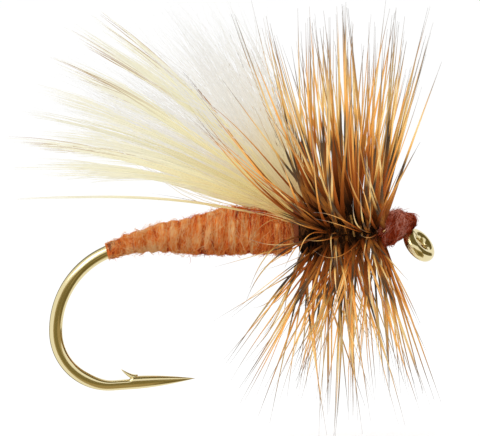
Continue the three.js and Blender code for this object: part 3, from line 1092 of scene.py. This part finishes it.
@dataclass
class ThreadWinding(SubAssembly):
    """One stretch of tying thread, wound in touching turns."""

    winding: Winding
    thread_radius: float = 0.045 * MM
    base_radius: float = 0.37 * MM
    tip_radius: float = 0.53 * MM
    wing_half_width: float = 0.59 * MM
    wing_low: float = 0.2 * MM
    wing_high: float = 2.34 * MM
    wing_corners: float = 0.5
    steps_per_turn: int = 22

    def build(self) -> None:
        """Build the winding."""
        node, front, tail, turns = self.winding.value
        steps = turns * self.steps_per_turn
        angle = np.linspace(0, turns * TURN, steps)
        centres, up = self.wire.at_station(np.linspace(front, tail, steps))
        if self.winding is Winding.WING:
            middle = (self.wing_low + self.wing_high) / 2 - self.wire.eye_drop
            half = (self.wing_high - self.wing_low) / 2
            sideways = self.wing_half_width * squared_off(np.cos(angle), self.wing_corners)
            upward = middle + half * squared_off(np.sin(angle), self.wing_corners)
        else:
            radius = self.base_radius if self.winding is Winding.BASE else self.tip_radius
            sideways = radius * np.cos(angle)
            upward = radius * np.sin(angle)
        path = centres + ACROSS * sideways[:, None] + up * upward[:, None]
        radii = np.full((1, steps), self.thread_radius)
        thread = FibreBundle(path[None], radii, np.array([0.5]), FORWARD + 0.01 * UP)
        self.fit(thread.build(f"{node}_turns"), node, "tying_thread", WaxedThread())


# ---------------------------------------------------------------------------
# Dubbing
# ---------------------------------------------------------------------------


@dataclass
class WoundDubbing(SubAssembly):
    """A rope of dubbing wound up the hook: its body, and the fibres that lie on it and stand off it.

    Args:
        node: The CAD node that it replaces.
        slot: The record's material slot.
        finish: The dubbing's finish.
        seed: Which irregularity it has.
        rear: The station of its rear end.
        front: The station of its front end.
        turn_pitch: The distance from one turn to the next.
        turn_lean: How far a turn leans forward at the top, as a share of the radius.
        rings: Rings of vertices in the body.
        sides: Vertices in each.
        laid_fibres: Fibres that lie on the rope.
        loose_fibres: Fibres that stand off it.
        loose_height: How far the loose ones stand off.
        ridge: The depth of the crease between two turns.
        lumpiness: How uneven its thickness is.
        fibre_radius: Half a fibre's width.
        painted_crease_shade: How much painted shade darkens a crease, on the scale of the shades.
        lump_size: The length of a lump along X, Y and Z.
        patch_size: The length of a patch of one shade.
        streak_size: The length of a streak of one shade.
        fibre_slant: How far a fibre slants along the wire.
        fibre_curl: How far it curls on the way.
        fibre_lift: How far the laid ones lie above the surface at most.
        fibre_steps: Points along a fibre.
    """

    node: str
    slot: str
    finish: Finish
    seed: int
    rear: float
    front: float
    turn_pitch: float
    turn_lean: float
    rings: int
    sides: int
    laid_fibres: int
    loose_fibres: int
    loose_height: float
    ridge: float = 0.052 * MM
    lumpiness: float = 0.05 * MM
    fibre_radius: float = 0.01 * MM
    painted_crease_shade: float = 0.24
    lump_size: tuple[float, float, float] = (1.3 * MM, 1.1 * MM, 1.1 * MM)
    patch_size: tuple[float, float, float] = (2.4 * MM, 2.6 * MM, 2.6 * MM)
    streak_size: tuple[float, float, float] = (0.4 * MM, 1.8 * MM, 1.8 * MM)
    fibre_slant: float = 0.34 * MM
    fibre_curl: float = 0.05 * MM
    fibre_lift: float = 0.035 * MM
    fibre_steps: int = 8

    @abstractmethod
    def outline(self, station: np.ndarray) -> tuple[np.ndarray, np.ndarray]:
        """Give the rope's outline.

        Args:
            station: Stations along the wire.

        Returns:
            The rope's radius there, and how far its middle is above the wire.
        """

    def paler_at(self, station: np.ndarray) -> np.ndarray:
        """Return how much paler the blend is at stations, on the scale of the shades."""
        return np.zeros_like(station)

    def _wound(self, station: np.ndarray, angle: np.ndarray) -> np.ndarray:
        """Return 0 in the crease between two turns of the rope, up to 1 on a turn's crest."""
        return np.abs(np.sin(math.pi * station / self.turn_pitch + angle / 2))

    def surface_at(
        self, station: np.ndarray, angle: np.ndarray, stand_off: np.ndarray | float
    ) -> np.ndarray:
        """Find points on the rope's surface, where each turn is a ridge that winds round the body.

        Args:
            station: Where along the wire.
            angle: Where round it, from the fly's left over the top.
            stand_off: How far off the surface, in metres.

        Returns:
            The points.
        """
        centres, up = self.wire.at_station(station)
        radius, lift = self.outline(station)
        bump = Unevenness(self.seed, self.lump_size)
        out = ACROSS * np.cos(angle)[..., None] + up * np.sin(angle)[..., None]
        lumps = self.lumpiness * bump.at(centres + out * radius[..., None])
        radius = radius + self.ridge * (self._wound(station, angle) ** 0.7 - 1) + lumps + stand_off
        leant = out + FORWARD * (self.turn_lean * np.sin(angle))[..., None]
        return centres + up * lift[..., None] + leant * radius[..., None]

    def tone_at(self, points: np.ndarray, station: np.ndarray, angle: np.ndarray) -> np.ndarray:
        """Blend the shade from patches and finer streaks, and darken the creases with painted shade.

        Args:
            points: Places on the rope.
            station: Their stations along the wire.
            angle: Their angles round it.

        Returns:
            A number from 0, darkest, to 1 for each point.
        """
        patches = Unevenness(self.seed + 1, self.patch_size).at(points)
        streaks = Unevenness(self.seed + 2, self.streak_size).at(points)
        # Painted shade: the creases between the rope's turns are painted darker.
        crease = self.painted_crease_shade * (1 - smooth(self._wound(station, angle) / 0.75))
        tone = 0.56 + 0.21 * patches + 0.17 * streaks - crease + self.paler_at(station)
        return np.clip(tone, 0, 1)

    def build(self) -> None:
        """Build the rope's body, painted a shade darker than the fibres as painted shade under them, and
        the fibres.
        """
        along = np.linspace(self.rear, self.front, self.rings)
        around = np.arange(self.sides) * TURN / self.sides
        station, angle = np.meshgrid(along, around, indexing="ij")
        points = self.surface_at(station, angle, 0.0)
        # The body is painted 0.1 darker in tone than the fibres, as painted shade under them.
        tones = {"tone": self.tone_at(points, station, angle) - 0.1}
        body = mesh_object(f"{self.node}_rope", points, tube_faces(self.rings, self.sides), tones)
        self.fit(body, self.node, self.slot, self.finish)
        self.fit(self._fibres(), self.node, self.slot, self.finish)

    def _fibres(self) -> bpy.types.Object:
        """Wind fibres with the rope, the last of which stand off it.

        Returns:
            The fibres as one object.
        """
        rng = np.random.default_rng(self.seed)
        count = self.laid_fibres + self.loose_fibres
        loose = (np.arange(count) >= self.laid_fibres)[:, None]
        share = np.linspace(0, 1, self.fibre_steps)[None]
        margin = 0.05 * MM
        start = rng.uniform(self.front + margin, self.rear - margin, (count, 1))
        first = rng.uniform(0, TURN, (count, 1))
        reach = np.where(loose, rng.uniform(0.25, 1.1, (count, 1)), rng.uniform(0.8, 3.2, (count, 1)))
        slant = rng.normal(0.0, self.fibre_slant, (count, 1)) * np.where(loose, 1.3, 0.7)
        curl = rng.normal(0, self.fibre_curl, (count, 1)) * np.sin(share * TURN)
        station = np.clip(start + slant * share + curl, self.front, self.rear)
        angle = first + reach * share
        low = rng.uniform(0.0, self.fibre_lift, (count, 1))
        lifted = np.abs(rng.normal(0, 0.5, (count, 1))) * self.loose_height
        height = low + np.where(loose, lifted * share**1.7, 0.04 * MM * np.abs(share - 0.5) ** 2)
        paths = self.surface_at(station, angle, height)
        taper = np.sin(math.pi * np.clip(share * 0.92 + 0.06, 0, 1)) ** 0.6
        radii = self.fibre_radius * rng.uniform(0.6, 1.25, (count, 1)) * taper
        half = self.fibre_steps // 2
        middle = self.tone_at(paths[:, half], station[:, half], angle[:, half])
        # Painted light: loose fibres are painted 0.12 paler in tone, a painted lit edge.
        tones = np.clip(middle + rng.normal(0.02, 0.12, count) + 0.12 * loose[:, 0], 0, 1)
        centres, _ = self.wire.at_station(station)
        return FibreBundle(paths, radii, tones, paths - centres).build(f"{self.node}_fibres")


@dataclass
class Abdomen(WoundDubbing):
    """The long orange body, thin and paler at the tail and fullest under the wing.

    It humps up a little behind the wing and sags under the wing's root. The hump and the sag are
    each a height, a station and a length along the wire. The paler tail is a change of shade, a
    station and a length.
    """

    node: str = "abdomen_dubbing"
    slot: str = "orange_dubbing"
    finish: Finish = TwistedDubbing(
        "orange_fur", ("#98321e", "#ca502a", "#e8722e", "#f09044", "#f6ae62", "#facc90")
    )
    seed: int = 1
    rear: float = 15.05 * MM
    front: float = 6.0 * MM
    turn_pitch: float = 0.56 * MM
    turn_lean: float = 0.16
    rings: int = 260
    sides: int = 84
    laid_fibres: int = 1700
    loose_fibres: int = 1500
    loose_height: float = 0.25 * MM
    tail: float = 14.95 * MM
    tail_radius: float = 0.47 * MM
    tail_round: float = 1.3 * MM
    fullest: float = 8.6 * MM
    full_radius: float = 1.13 * MM
    shoulder: float = 5.9 * MM
    shoulder_drop: float = 0.4 * MM
    front_round: float = 0.3 * MM
    hump: tuple[float, float, float] = (0.24 * MM, 9.0 * MM, 1.9 * MM)
    sag: tuple[float, float, float] = (0.2 * MM, 7.2 * MM, 1.2 * MM)
    paler_tail: tuple[float, float, float] = (0.32, 10.0 * MM, 3.5 * MM)

    def outline(self, station: np.ndarray) -> tuple[np.ndarray, np.ndarray]:
        """Give a spindle that swells to its fullest turn and tucks in under the wing.

        Args:
            station: Stations along the wire.

        Returns:
            The rope's radius there, and how far its middle is above the wire.
        """
        swell = smooth(np.clip((self.tail - station) / (self.tail - self.fullest), 0, 1) ** 1.15)
        behind = self.tail_radius + (self.full_radius - self.tail_radius) * swell
        to_front = np.clip((self.fullest - station) / (self.fullest - self.shoulder), 0, 1)
        before = self.full_radius - self.shoulder_drop * to_front**1.6
        radius = np.where(station > self.fullest, behind, before)
        end = smooth((self.rear - station) / self.tail_round)
        nose = np.clip((station - self.front) / self.front_round, 0, 1)
        radius = radius * (0.8 + 0.2 * end) * (0.7 + 0.3 * np.sqrt(nose))
        height, middle, half = self.hump
        hump = height * np.exp(-(((station - middle) / half) ** 2))
        depth, start, over = self.sag
        return radius, hump - depth * smooth((start - station) / over)

    def paler_at(self, station: np.ndarray) -> np.ndarray:
        """Return how much paler the thin tail is at stations, on the scale of the shades."""
        change, start, over = self.paler_tail
        return change * smooth((station - start) / over)


@dataclass
class Thorax(WoundDubbing):
    """The short dark body that the hackle is wound over."""

    node: str = "thorax_dubbing"
    slot: str = "dark_dubbing"
    finish: Finish = TwistedDubbing(
        "dark_fur", ("#140c08", "#24160e", "#382214", "#54321c", "#7a4a26"), glow=0.08
    )
    seed: int = 31
    rear: float = 5.75 * MM
    front: float = 1.95 * MM
    turn_pitch: float = 0.6 * MM
    turn_lean: float = 0.0
    rings: int = 110
    sides: int = 60
    laid_fibres: int = 420
    loose_fibres: int = 760
    loose_height: float = 0.7 * MM
    lumpiness: float = 0.07 * MM
    fullest: float = 4.7 * MM
    full_radius: float = 1.12 * MM
    falling_off: float = 0.085 / MM
    rear_round: float = 0.5 * MM

    def outline(self, station: np.ndarray) -> tuple[np.ndarray, np.ndarray]:
        """Give a barrel that is fullest a little behind its middle.

        Args:
            station: Stations along the wire.

        Returns:
            The rope's radius there, and how far its middle is above the wire.
        """
        radius = self.full_radius - self.falling_off * (station - self.fullest) ** 2
        end = np.clip((self.rear - station) / self.rear_round, 0, 1)
        return radius * (0.7 + 0.3 * np.sqrt(end)), np.zeros_like(station)


@dataclass
class Head(WoundDubbing):
    """The small fuzzy maroon head behind the eye."""

    node: str = "head_dubbing"
    slot: str = "maroon_dubbing"
    finish: Finish = TwistedDubbing(
        "maroon_fur", ("#4a160c", "#862a12", "#a83e1e", "#ba5632", "#e2a28e"), glow=0.2
    )
    seed: int = 57
    rear: float = 1.95 * MM
    front: float = 0.46 * MM
    turn_pitch: float = 0.5 * MM
    turn_lean: float = 0.32
    rings: int = 70
    sides: int = 60
    laid_fibres: int = 400
    loose_fibres: int = 900
    loose_height: float = 0.22 * MM
    ridge: float = 0.03 * MM
    painted_crease_shade: float = 0.15
    middle: float = 1.26 * MM
    half_length: float = 0.86 * MM
    full_radius: float = 0.82 * MM
    lift: float = 0.14 * MM

    def outline(self, station: np.ndarray) -> tuple[np.ndarray, np.ndarray]:
        """Give a ball that sits a little high on the wire.

        Args:
            station: Stations along the wire.

        Returns:
            The rope's radius there, and how far its middle is above the wire.
        """
        ball = np.sqrt(np.clip(1 - ((station - self.middle) / self.half_length) ** 2, 0.02, 1))
        return self.full_radius * ball, np.full_like(station, self.lift)


# ---------------------------------------------------------------------------
# Wing
# ---------------------------------------------------------------------------


@dataclass
class Tuft(SubAssembly):
    """A tuft of straight fibres that fans back from the lashing, in layers of pointed locks.

    Args:
        node: The CAD node that it replaces.
        slot: The record's material slot.
        finish: The fibres' finish.
        seed: Which irregularity it has.
        root: The middle of its squeezed root.
        root_half: Half the root's width and height.
        rise: How steeply the lowest and the highest fibres rise, in degrees.
        spread: How far the outer fibres turn aside, in degrees.
        length: The shortest and the longest fibre.
        bow: How far the highest and the lowest fibres bow upward.
        layers: Layers of locks, one above the other.
        crowding: Above 1, the layers crowd together low down.
        layer_depth: How far a lock strays from its layer, where half the tuft's height is 1.
        fibres_per_lock: Fibres in each lock.
        lock_width: How far the fibres of a lock part in its middle.
        lock_sway: How far a whole lock sways.
        waviness: How far a fibre waves by itself.
        fibre_radius: Half a fibre's width.
        steps: Points along a fibre.
        locks_per_layer: Locks side by side in a layer.
        shorter_above: How much shorter the highest fibres are, as a share.
        fallen: Fibres that dropped out of the bundle and lie on their own below it.
        fallen_rise: How steeply those rise, in degrees.
    """

    node: str
    slot: str
    finish: Finish
    seed: int
    root: tuple[float, float, float]
    root_half: tuple[float, float]
    rise: tuple[float, float]
    spread: float
    length: tuple[float, float]
    bow: tuple[float, float]
    layers: int
    crowding: float
    layer_depth: float
    fibres_per_lock: int
    lock_width: float
    lock_sway: float
    waviness: float
    fibre_radius: float
    steps: int
    locks_per_layer: int = 4
    shorter_above: float = 0.0
    fallen: int = 0
    fallen_rise: float = 0.0

    def _lie_of_locks(self, rng: np.random.Generator) -> tuple[np.ndarray, np.ndarray]:
        """Spread the locks over the layers.

        Args:
            rng: The tuft's random numbers.

        Returns:
            How high in the tuft and how far across it each lock lies, from -1 to 1.
        """
        layers, across = np.arange(self.layers), np.arange(self.locks_per_layer)
        level = ((layers + rng.uniform(0.1, 0.9, self.layers)) / self.layers) ** self.crowding
        high = np.repeat(2 * level - 1, self.locks_per_layer)
        wide = np.tile(2 * (across + 0.5) / self.locks_per_layer - 1, self.layers)
        high = high + rng.normal(0, self.layer_depth, high.shape)
        wide = wide + rng.normal(0, 0.5 / self.locks_per_layer, wide.shape)
        return high, wide * np.sqrt(1.1 - np.clip(high**2, 0, 1))

    def _paths(self, rng: np.random.Generator, lock: np.ndarray, share: np.ndarray) -> np.ndarray:
        """Run each fibre from the root to its tip.

        Args:
            rng: The tuft's random numbers.
            lock: The number of each fibre's lock.
            share: Places along a fibre, from 0 to 1, as (1, points, 1).

        Returns:
            The points, as (fibres, points, 3), in metres.
        """
        count = len(lock)
        lock_high, lock_wide = self._lie_of_locks(rng)
        locks = len(lock_high)
        high, wide = lock_high[lock], lock_wide[lock]
        middle, half = (self.rise[0] + self.rise[1]) / 2, (self.rise[1] - self.rise[0]) / 2
        up = np.radians(middle + half * high + rng.normal(0, 0.35, count))
        up[: self.fallen] = np.radians(self.fallen_rise)
        aside = np.radians(self.spread * wide + rng.normal(0, 0.7, count))
        heading = np.stack([-np.cos(up) * np.cos(aside), np.cos(up) * np.sin(aside), np.sin(up)], -1)
        square = unit(np.cross(ACROSS, heading))
        reach = rng.uniform(*self.length, locks)[lock] * rng.uniform(0.84, 1.0, count)
        reach = reach * (1 - self.shorter_above * (1 + high) / 2)
        reach[: self.fallen] = self.length[1] * 0.92
        root = np.array(self.root) + ACROSS * (self.root_half[0] * wide)[:, None]
        root = root + square * (self.root_half[1] * high)[:, None]
        bow = self.bow[0] + (self.bow[1] - self.bow[0]) * (1 - high) / 2
        bow[: self.fallen] *= 0.55
        square = square[:, None]
        paths = root[:, None] + heading[:, None] * reach[:, None, None] * share
        paths = paths + square * bow[:, None, None] * 4 * share * (1 - share)
        # The fibres of a lock part in its middle and meet again at its tip.
        parting = rng.normal(0, 0.5, (count, 2, 1, 1)) * self.lock_width
        apart = np.sin(math.pi * np.clip(share * 0.95 + 0.02, 0, 1)) ** 0.8
        paths = paths + ACROSS * parting[:, 0] * apart + square * parting[:, 1] * apart
        lock_sway = rng.normal(0, self.lock_sway, (locks, 1, 1))[lock]
        paths = paths + square * lock_sway * np.sin(share * 0.75 * TURN)
        sway = rng.normal(0, 1, (count, 1, 1)) * self.waviness
        phase = rng.uniform(0, TURN, (count, 1, 1))
        return paths + square * sway * share * np.sin(share * TURN + phase)

    def build(self) -> None:
        """Build the tuft."""
        rng = np.random.default_rng(self.seed)
        locks = self.layers * self.locks_per_layer
        lock = np.repeat(np.arange(locks), self.fibres_per_lock)
        share = np.linspace(0, 1, self.steps)[None]
        paths = self._paths(rng, lock, share[..., None])
        taper = np.clip(1.02 - share**2.6, 0.05, 1) * (0.75 + 0.25 * smooth(share * 4))
        radii = self.fibre_radius * rng.uniform(0.7, 1.15, (len(lock), 1)) * taper
        tones = 0.75 * rng.uniform(0, 1, locks)[lock] + 0.25 * rng.uniform(0, 1, len(lock))
        bundle = FibreBundle(paths, radii, tones, np.array([0.2, 0.9, 0.3]))
        tuft = bundle.build(f"{self.node}_locks")
        # The fibres are so clear that they hardly shade each other.
        tuft.visible_shadow = False
        tuft.visible_diffuse = False
        tuft.visible_transmission = False
        self.fit(tuft, self.node, self.slot, self.finish)


@dataclass
class HairWing(Tuft):
    """The long cream tuft that sweeps back over the abdomen."""

    node: str = "hair_wing"
    slot: str = "cream_hair"
    finish: Finish = CombedFibre(
        "bleached_hair",
        ((0.0, "#e6c070"), (0.25, "#f0de9a"), (0.6, "#f6f0ca"), (1.0, "#fcf9e8")),
        tipped="#b08a58",
        tip_share=0.13,
        roughness=0.4,
    )
    seed: int = 7
    root: tuple[float, float, float] = (-5.75 * MM, 0.0, 1.45 * MM)
    root_half: tuple[float, float] = (0.5 * MM, 0.3 * MM)
    rise: tuple[float, float] = (11.5, 46.0)
    spread: float = 17.0
    length: tuple[float, float] = (11.4 * MM, 14.8 * MM)
    bow: tuple[float, float] = (0.5 * MM, 0.9 * MM)
    layers: int = 9
    crowding: float = 1.05
    layer_depth: float = 0.035
    fibres_per_lock: int = 15
    lock_width: float = 0.13 * MM
    lock_sway: float = 0.1 * MM
    waviness: float = 0.05 * MM
    fibre_radius: float = 0.048 * MM
    steps: int = 16
    fallen: int = 5
    fallen_rise: float = 7.4


@dataclass
class YarnWing(Tuft):
    """The finer white tuft that stands more steeply on top of the hair."""

    node: str = "yarn_wing"
    slot: str = "white_yarn"
    finish: Finish = CombedFibre(
        "combed_yarn",
        ((0.0, "#dab678"), (0.25, "#e8d6a4"), (0.55, "#f2eee2"), (1.0, "#fbfbf9")),
        tipped="#f0efea",
        tip_share=0.1,
        roughness=0.5,
    )
    seed: int = 19
    root: tuple[float, float, float] = (-5.75 * MM, 0.0, 1.95 * MM)
    root_half: tuple[float, float] = (0.5 * MM, 0.2 * MM)
    rise: tuple[float, float] = (22.0, 71.0)
    spread: float = 19.0
    length: tuple[float, float] = (11.8 * MM, 14.8 * MM)
    bow: tuple[float, float] = (0.1 * MM, 0.3 * MM)
    layers: int = 16
    crowding: float = 0.9
    layer_depth: float = 0.12
    fibres_per_lock: int = 12
    lock_width: float = 0.6 * MM
    lock_sway: float = 0.25 * MM
    waviness: float = 0.35 * MM
    fibre_radius: float = 0.018 * MM
    steps: int = 12
    shorter_above: float = 0.22


# ---------------------------------------------------------------------------
# Hackle
# ---------------------------------------------------------------------------


@dataclass
class Barbs:
    """The barbs of one feather, as arrays with a row for each.

    Args:
        share: Where it grows on the quill, from 0 at the rear end to 1 at the tip.
        roots: Its root, in metres.
        angle: The side that it stands out to, from the fly's left over the top.
        wedge: The number of the wedge of neighbours that it clings to.
        common: Three stray numbers that it shares with its wedge.
        own: Three stray numbers of its own.
        wild: Whether it stands out of the others' order.
    """

    share: np.ndarray
    roots: np.ndarray
    angle: np.ndarray
    wedge: np.ndarray
    common: np.ndarray
    own: np.ndarray
    wild: np.ndarray

    @property
    def upness(self) -> np.ndarray:
        """Return 1 for barbs that stand straight up, down to -1 for those that hang."""
        return np.sin(self.angle)

    @property
    def below(self) -> np.ndarray:
        """Return 1 for barbs below the hook, which the vice and the fingers bend, down to 0."""
        return smooth(-self.upness / 0.5)


@dataclass(frozen=True)
class Lean:
    """How far barbs lean from square to the shank, in degrees.

    Args:
        back: How far the rearmost lean back.
        held: How much more they do above the hook, where the wing holds them.
        rear_fade: The power with which that fades forward.
        forward: How far the foremost lean forward.
        front_growth: The power with which that grows from the rear.
        wild: How much more the wild ones lean back.
    """

    back: float
    held: float
    rear_fade: float
    forward: float
    front_growth: float
    wild: float

    def of(self, barbs: Barbs) -> np.ndarray:
        """Lean a feather's barbs.

        Args:
            barbs: The barbs.

        Returns:
            Degrees for each, positive forward.
        """
        rear = 1 - barbs.share
        held = smooth((barbs.upness + 0.1) / 0.8)
        swept = barbs.wild * rear * (1 + 0.5 * barbs.below)
        forward = self.forward * barbs.share**self.front_growth * np.abs(barbs.upness)
        return -(self.back + self.held * held) * rear**self.rear_fade + forward - self.wild * swept


@dataclass
class Hackle(SubAssembly):
    """One feather, its quill wound forward in open turns and its barbs standing out all round.

    Args:
        node: The CAD node that it replaces.
        slot: The record's material slot.
        plumage: The feather's markings.
        seed: Which irregularity it has.
        phase: The angle round the shank at which the quill starts.
        quill_clear: The least distance of the quill from the shank's middle.
        bare_below: The share of barbs that the tyer thins out below the hook.
        bare_beside: The share that the tyer thins out beside it.
        shorter_below: How much shorter barbs are below it, as a share.
        web: How much wider the web makes a barb's root, as a share.
        web_reach: How far the web reaches along a barb, as a share of its length.
        pressed_flat: How flat lying in a box has made the sides.
        sticking: The share of barbs that stick to the one before.
        clinging: How far the tips of a wedge come together, as a share.
        wild_share: The share of wedges that stand out of the others' order.
        stray: How far barbs stray, in degrees, and stray_below how much further below the hook.
        crossed_below: How far barbs cross each other below the hook, in degrees.
        base_lean: How barbs lean at their roots.
        tip_lean: How they lean at their tips.
        bend_reach: How soon a barb bends from the one lean to the other, as a share of its length.
        furthest_forward: The furthest that any barb leans forward, in degrees.
        painted_light_below: How much paler barbs below the hook are painted, as painted light from below,
            as a share.
    """

    node: str
    slot: str
    plumage: Plumage
    seed: int
    phase: float
    turns: float = 5.0
    rear: float = 5.4 * MM
    front: float = 1.6 * MM
    quill_radius: float = 0.075 * MM
    quill_clear: float = 0.5 * MM
    quill_steps: int = 160
    barbs: int = 290
    barb_length: float = 10.8 * MM
    barb_radius: float = 0.063 * MM
    barb_flatness: float = 0.5
    steps: int = 16
    bare_below: float = 0.34
    bare_beside: float = 0.35
    shorter_below: float = 0.16
    web: float = 0.7
    web_reach: float = 0.42
    pressed_flat: float = 0.2
    sticking: float = 0.42
    clinging: float = 0.6
    wild_share: float = 0.16
    stray: float = 5.0
    stray_below: float = 0.45
    crossed_below: float = 7.0
    base_lean: Lean = Lean(25.0, 29.0, rear_fade=1.2, forward=9.0, front_growth=1.0, wild=34.0)
    tip_lean: Lean = Lean(13.0, 1.0, rear_fade=1.0, forward=14.0, front_growth=1.5, wild=26.0)
    bend_reach: float = 0.16
    furthest_forward: float = 17.0
    painted_light_below: float = 0.6

    def _quill_at(self, share: np.ndarray) -> tuple[np.ndarray, np.ndarray]:
        """Follow the quill, which is wound over the thorax.

        Args:
            share: Places along it, from 0 at its rear end to 1 at its tip.

        Returns:
            The points, and their angles round the shank.
        """
        station = self.rear + (self.front - self.rear) * share
        radius, _ = Thorax().outline(station)
        radius = np.maximum(radius, self.quill_clear) + self.quill_radius
        angle = self.phase + share * self.turns * TURN
        still = np.zeros_like(angle)
        out = np.stack([still, np.cos(angle), np.sin(angle)], -1)
        middle = np.stack([-station, still, still + self.wire.eye_drop], -1)
        return middle + out * radius[:, None], angle

    def _grow(self, rng: np.random.Generator) -> Barbs:
        """Grow the barbs, and thin them out below and beside the hook, so that the fly sits low.

        Args:
            rng: The feather's random numbers.

        Returns:
            The barbs that are left.
        """
        share = np.sort(rng.uniform(0, 1, self.barbs))
        roots, angle = self._quill_at(share)
        level = np.abs(np.sin(angle))
        thinned = self.bare_below * smooth(0.3 - np.sin(angle))
        thinned = thinned + self.bare_beside * smooth(1 - level / 0.4)
        kept = rng.uniform(0, 1, self.barbs) > thinned
        count = np.count_nonzero(kept)
        wedge = np.cumsum(rng.uniform(0, 1, count) > self.sticking)
        wedges = wedge[-1] + 1
        common = rng.normal(0, 1, (wedges, 3))[wedge]
        own = rng.normal(0, 1, (count, 3))
        wild = (rng.uniform(0, 1, wedges) < self.wild_share)[wedge]
        return Barbs(share[kept], roots[kept], angle[kept], wedge, common, own, wild)

    def _headings(self, barbs: Barbs, along: np.ndarray) -> np.ndarray:
        """Bend each barb from the lean of its root to that of its tip.

        Args:
            barbs: The feather's barbs.
            along: Places along a barb, from 0 to 1, as (1, points).

        Returns:
            The directions, as (barbs, points, 3).
        """
        common, own = barbs.common, barbs.own
        stray = self.stray * (1 + self.stray_below * barbs.below)
        base = self.base_lean.of(barbs) + stray * (common[:, 0] + 0.6 * own[:, 0])
        tip = self.tip_lean.of(barbs) + stray * (1.2 * common[:, 0] + 0.8 * own[:, 1])
        tip = tip + self.crossed_below * barbs.below * common[:, 2]
        sideways = np.radians(stray * (1.3 * common[:, 1] + 0.6 * own[:, 0]))
        lean = tip[:, None] + (base - tip)[:, None] * np.exp(-along / self.bend_reach)
        lean = np.radians(np.minimum(lean, self.furthest_forward))
        pressed = barbs.angle + self.pressed_flat * np.sin(2 * barbs.angle)
        swing = pressed[:, None] + sideways[:, None] * (0.3 + 0.7 * along)
        return np.stack([np.sin(lean), np.cos(lean) * np.cos(swing), np.cos(lean) * np.sin(swing)], -1)

    def _paths(self, barbs: Barbs, along: np.ndarray) -> np.ndarray:
        """Run each barb from its root to its tip.

        Args:
            barbs: The feather's barbs.
            along: Places along a barb, from 0 to 1, as (1, points).

        Returns:
            The points, as (barbs, points, 3), in metres.
        """
        wedge = barbs.wedge
        length = self.barb_length * (1 - self.shorter_below * np.clip(-barbs.upness, 0, 1))
        length = length * (1 - 0.08 * np.abs(barbs.own[:, 2]) - 0.06 * np.abs(barbs.common[:, 2]))
        length = length * (1 - 0.22 * barbs.wild * barbs.below)
        strides = self._headings(barbs, along) * (length / (self.steps - 1))[:, None, None]
        paths = barbs.roots[:, None] + np.cumsum(strides, axis=1) - strides[:, :1]
        # Barbs cling to their neighbours in small wedges, whose tips come together.
        shared = np.zeros((wedge[-1] + 1, self.steps, 3))
        np.add.at(shared, wedge, paths)
        shared = shared[wedge] / np.bincount(wedge)[wedge][:, None, None]
        return paths + (shared - paths) * (self.clinging * along**1.5)[..., None]

    def build(self) -> None:
        """Build the feather: the barbs, and the quill that they grow on."""
        rng = np.random.default_rng(self.seed)
        barbs = self._grow(rng)
        along = np.linspace(0, 1, self.steps)[None]
        paths = self._paths(barbs, along)
        below = barbs.below[:, None]
        # The web at its root makes a barb wider there.
        web = self.web * (1 - 0.8 * below) * (1 - smooth(along / self.web_reach))
        taper = np.maximum(np.clip(1 - along**1.8, 0, 1) * (1 + web), 0.09)
        finer = 1 - 0.16 * below
        radii = self.barb_radius * finer * rng.uniform(0.6, 1.2, (len(paths), 1)) * taper
        tones = rng.uniform(0, 1, len(paths))
        # Painted light: barbs below the hook are painted paler, as if lit from below.
        tones = tones + (1 - tones) * self.painted_light_below * barbs.below
        # A barb is a blade that stands edge on to the next one along the quill.
        still = np.zeros_like(barbs.angle)
        edge = np.stack([still, -np.sin(barbs.angle), np.cos(barbs.angle)], -1)[:, None]
        bundle = FibreBundle(paths, radii, tones, edge, self.barb_flatness)
        brush = bundle.build(f"{self.node}_barbs")
        # Light goes on through the thin barbs.
        brush.visible_shadow = False
        brush.visible_transmission = False
        finish = StiffBarb(self.plumage)
        self.fit(brush, self.node, self.slot, finish)
        centres, _ = self._quill_at(np.linspace(0, 1, self.quill_steps))
        thinning = np.linspace(self.quill_radius, self.quill_radius * 0.5, self.quill_steps)
        # The lowest tone makes the quill as dark as a barb's root can be.
        quill = FibreBundle(centres[None], thinning[None], np.array([0.0]), FORWARD)
        self.fit(quill.build(f"{self.node}_quill"), self.node, self.slot, finish)


# ---------------------------------------------------------------------------
# The fly
# ---------------------------------------------------------------------------


def main() -> None:
    """Build the studio and then the fly, in the order in which a tyer ties it."""
    for stray in list(bpy.data.objects):
        bpy.data.objects.remove(stray)
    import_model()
    Studio().build()
    parts: list[SubAssembly] = [
        HookWire(),
        ThreadWinding(Winding.BASE),
        Abdomen(),
        HairWing(),
        YarnWing(),
        ThreadWinding(Winding.WING),
        Thorax(),
        Hackle("brown_hackle", "brown_feather", Plumage.FURNACE, seed=3, phase=0.0),
        Hackle("cree_hackle", "cree_feather", Plumage.CREE, seed=5, phase=math.pi),
        ThreadWinding(Winding.TIPS),
        Head(),
    ]
    for part in parts:
        part.build()


if __name__ == "__main__":
    main()
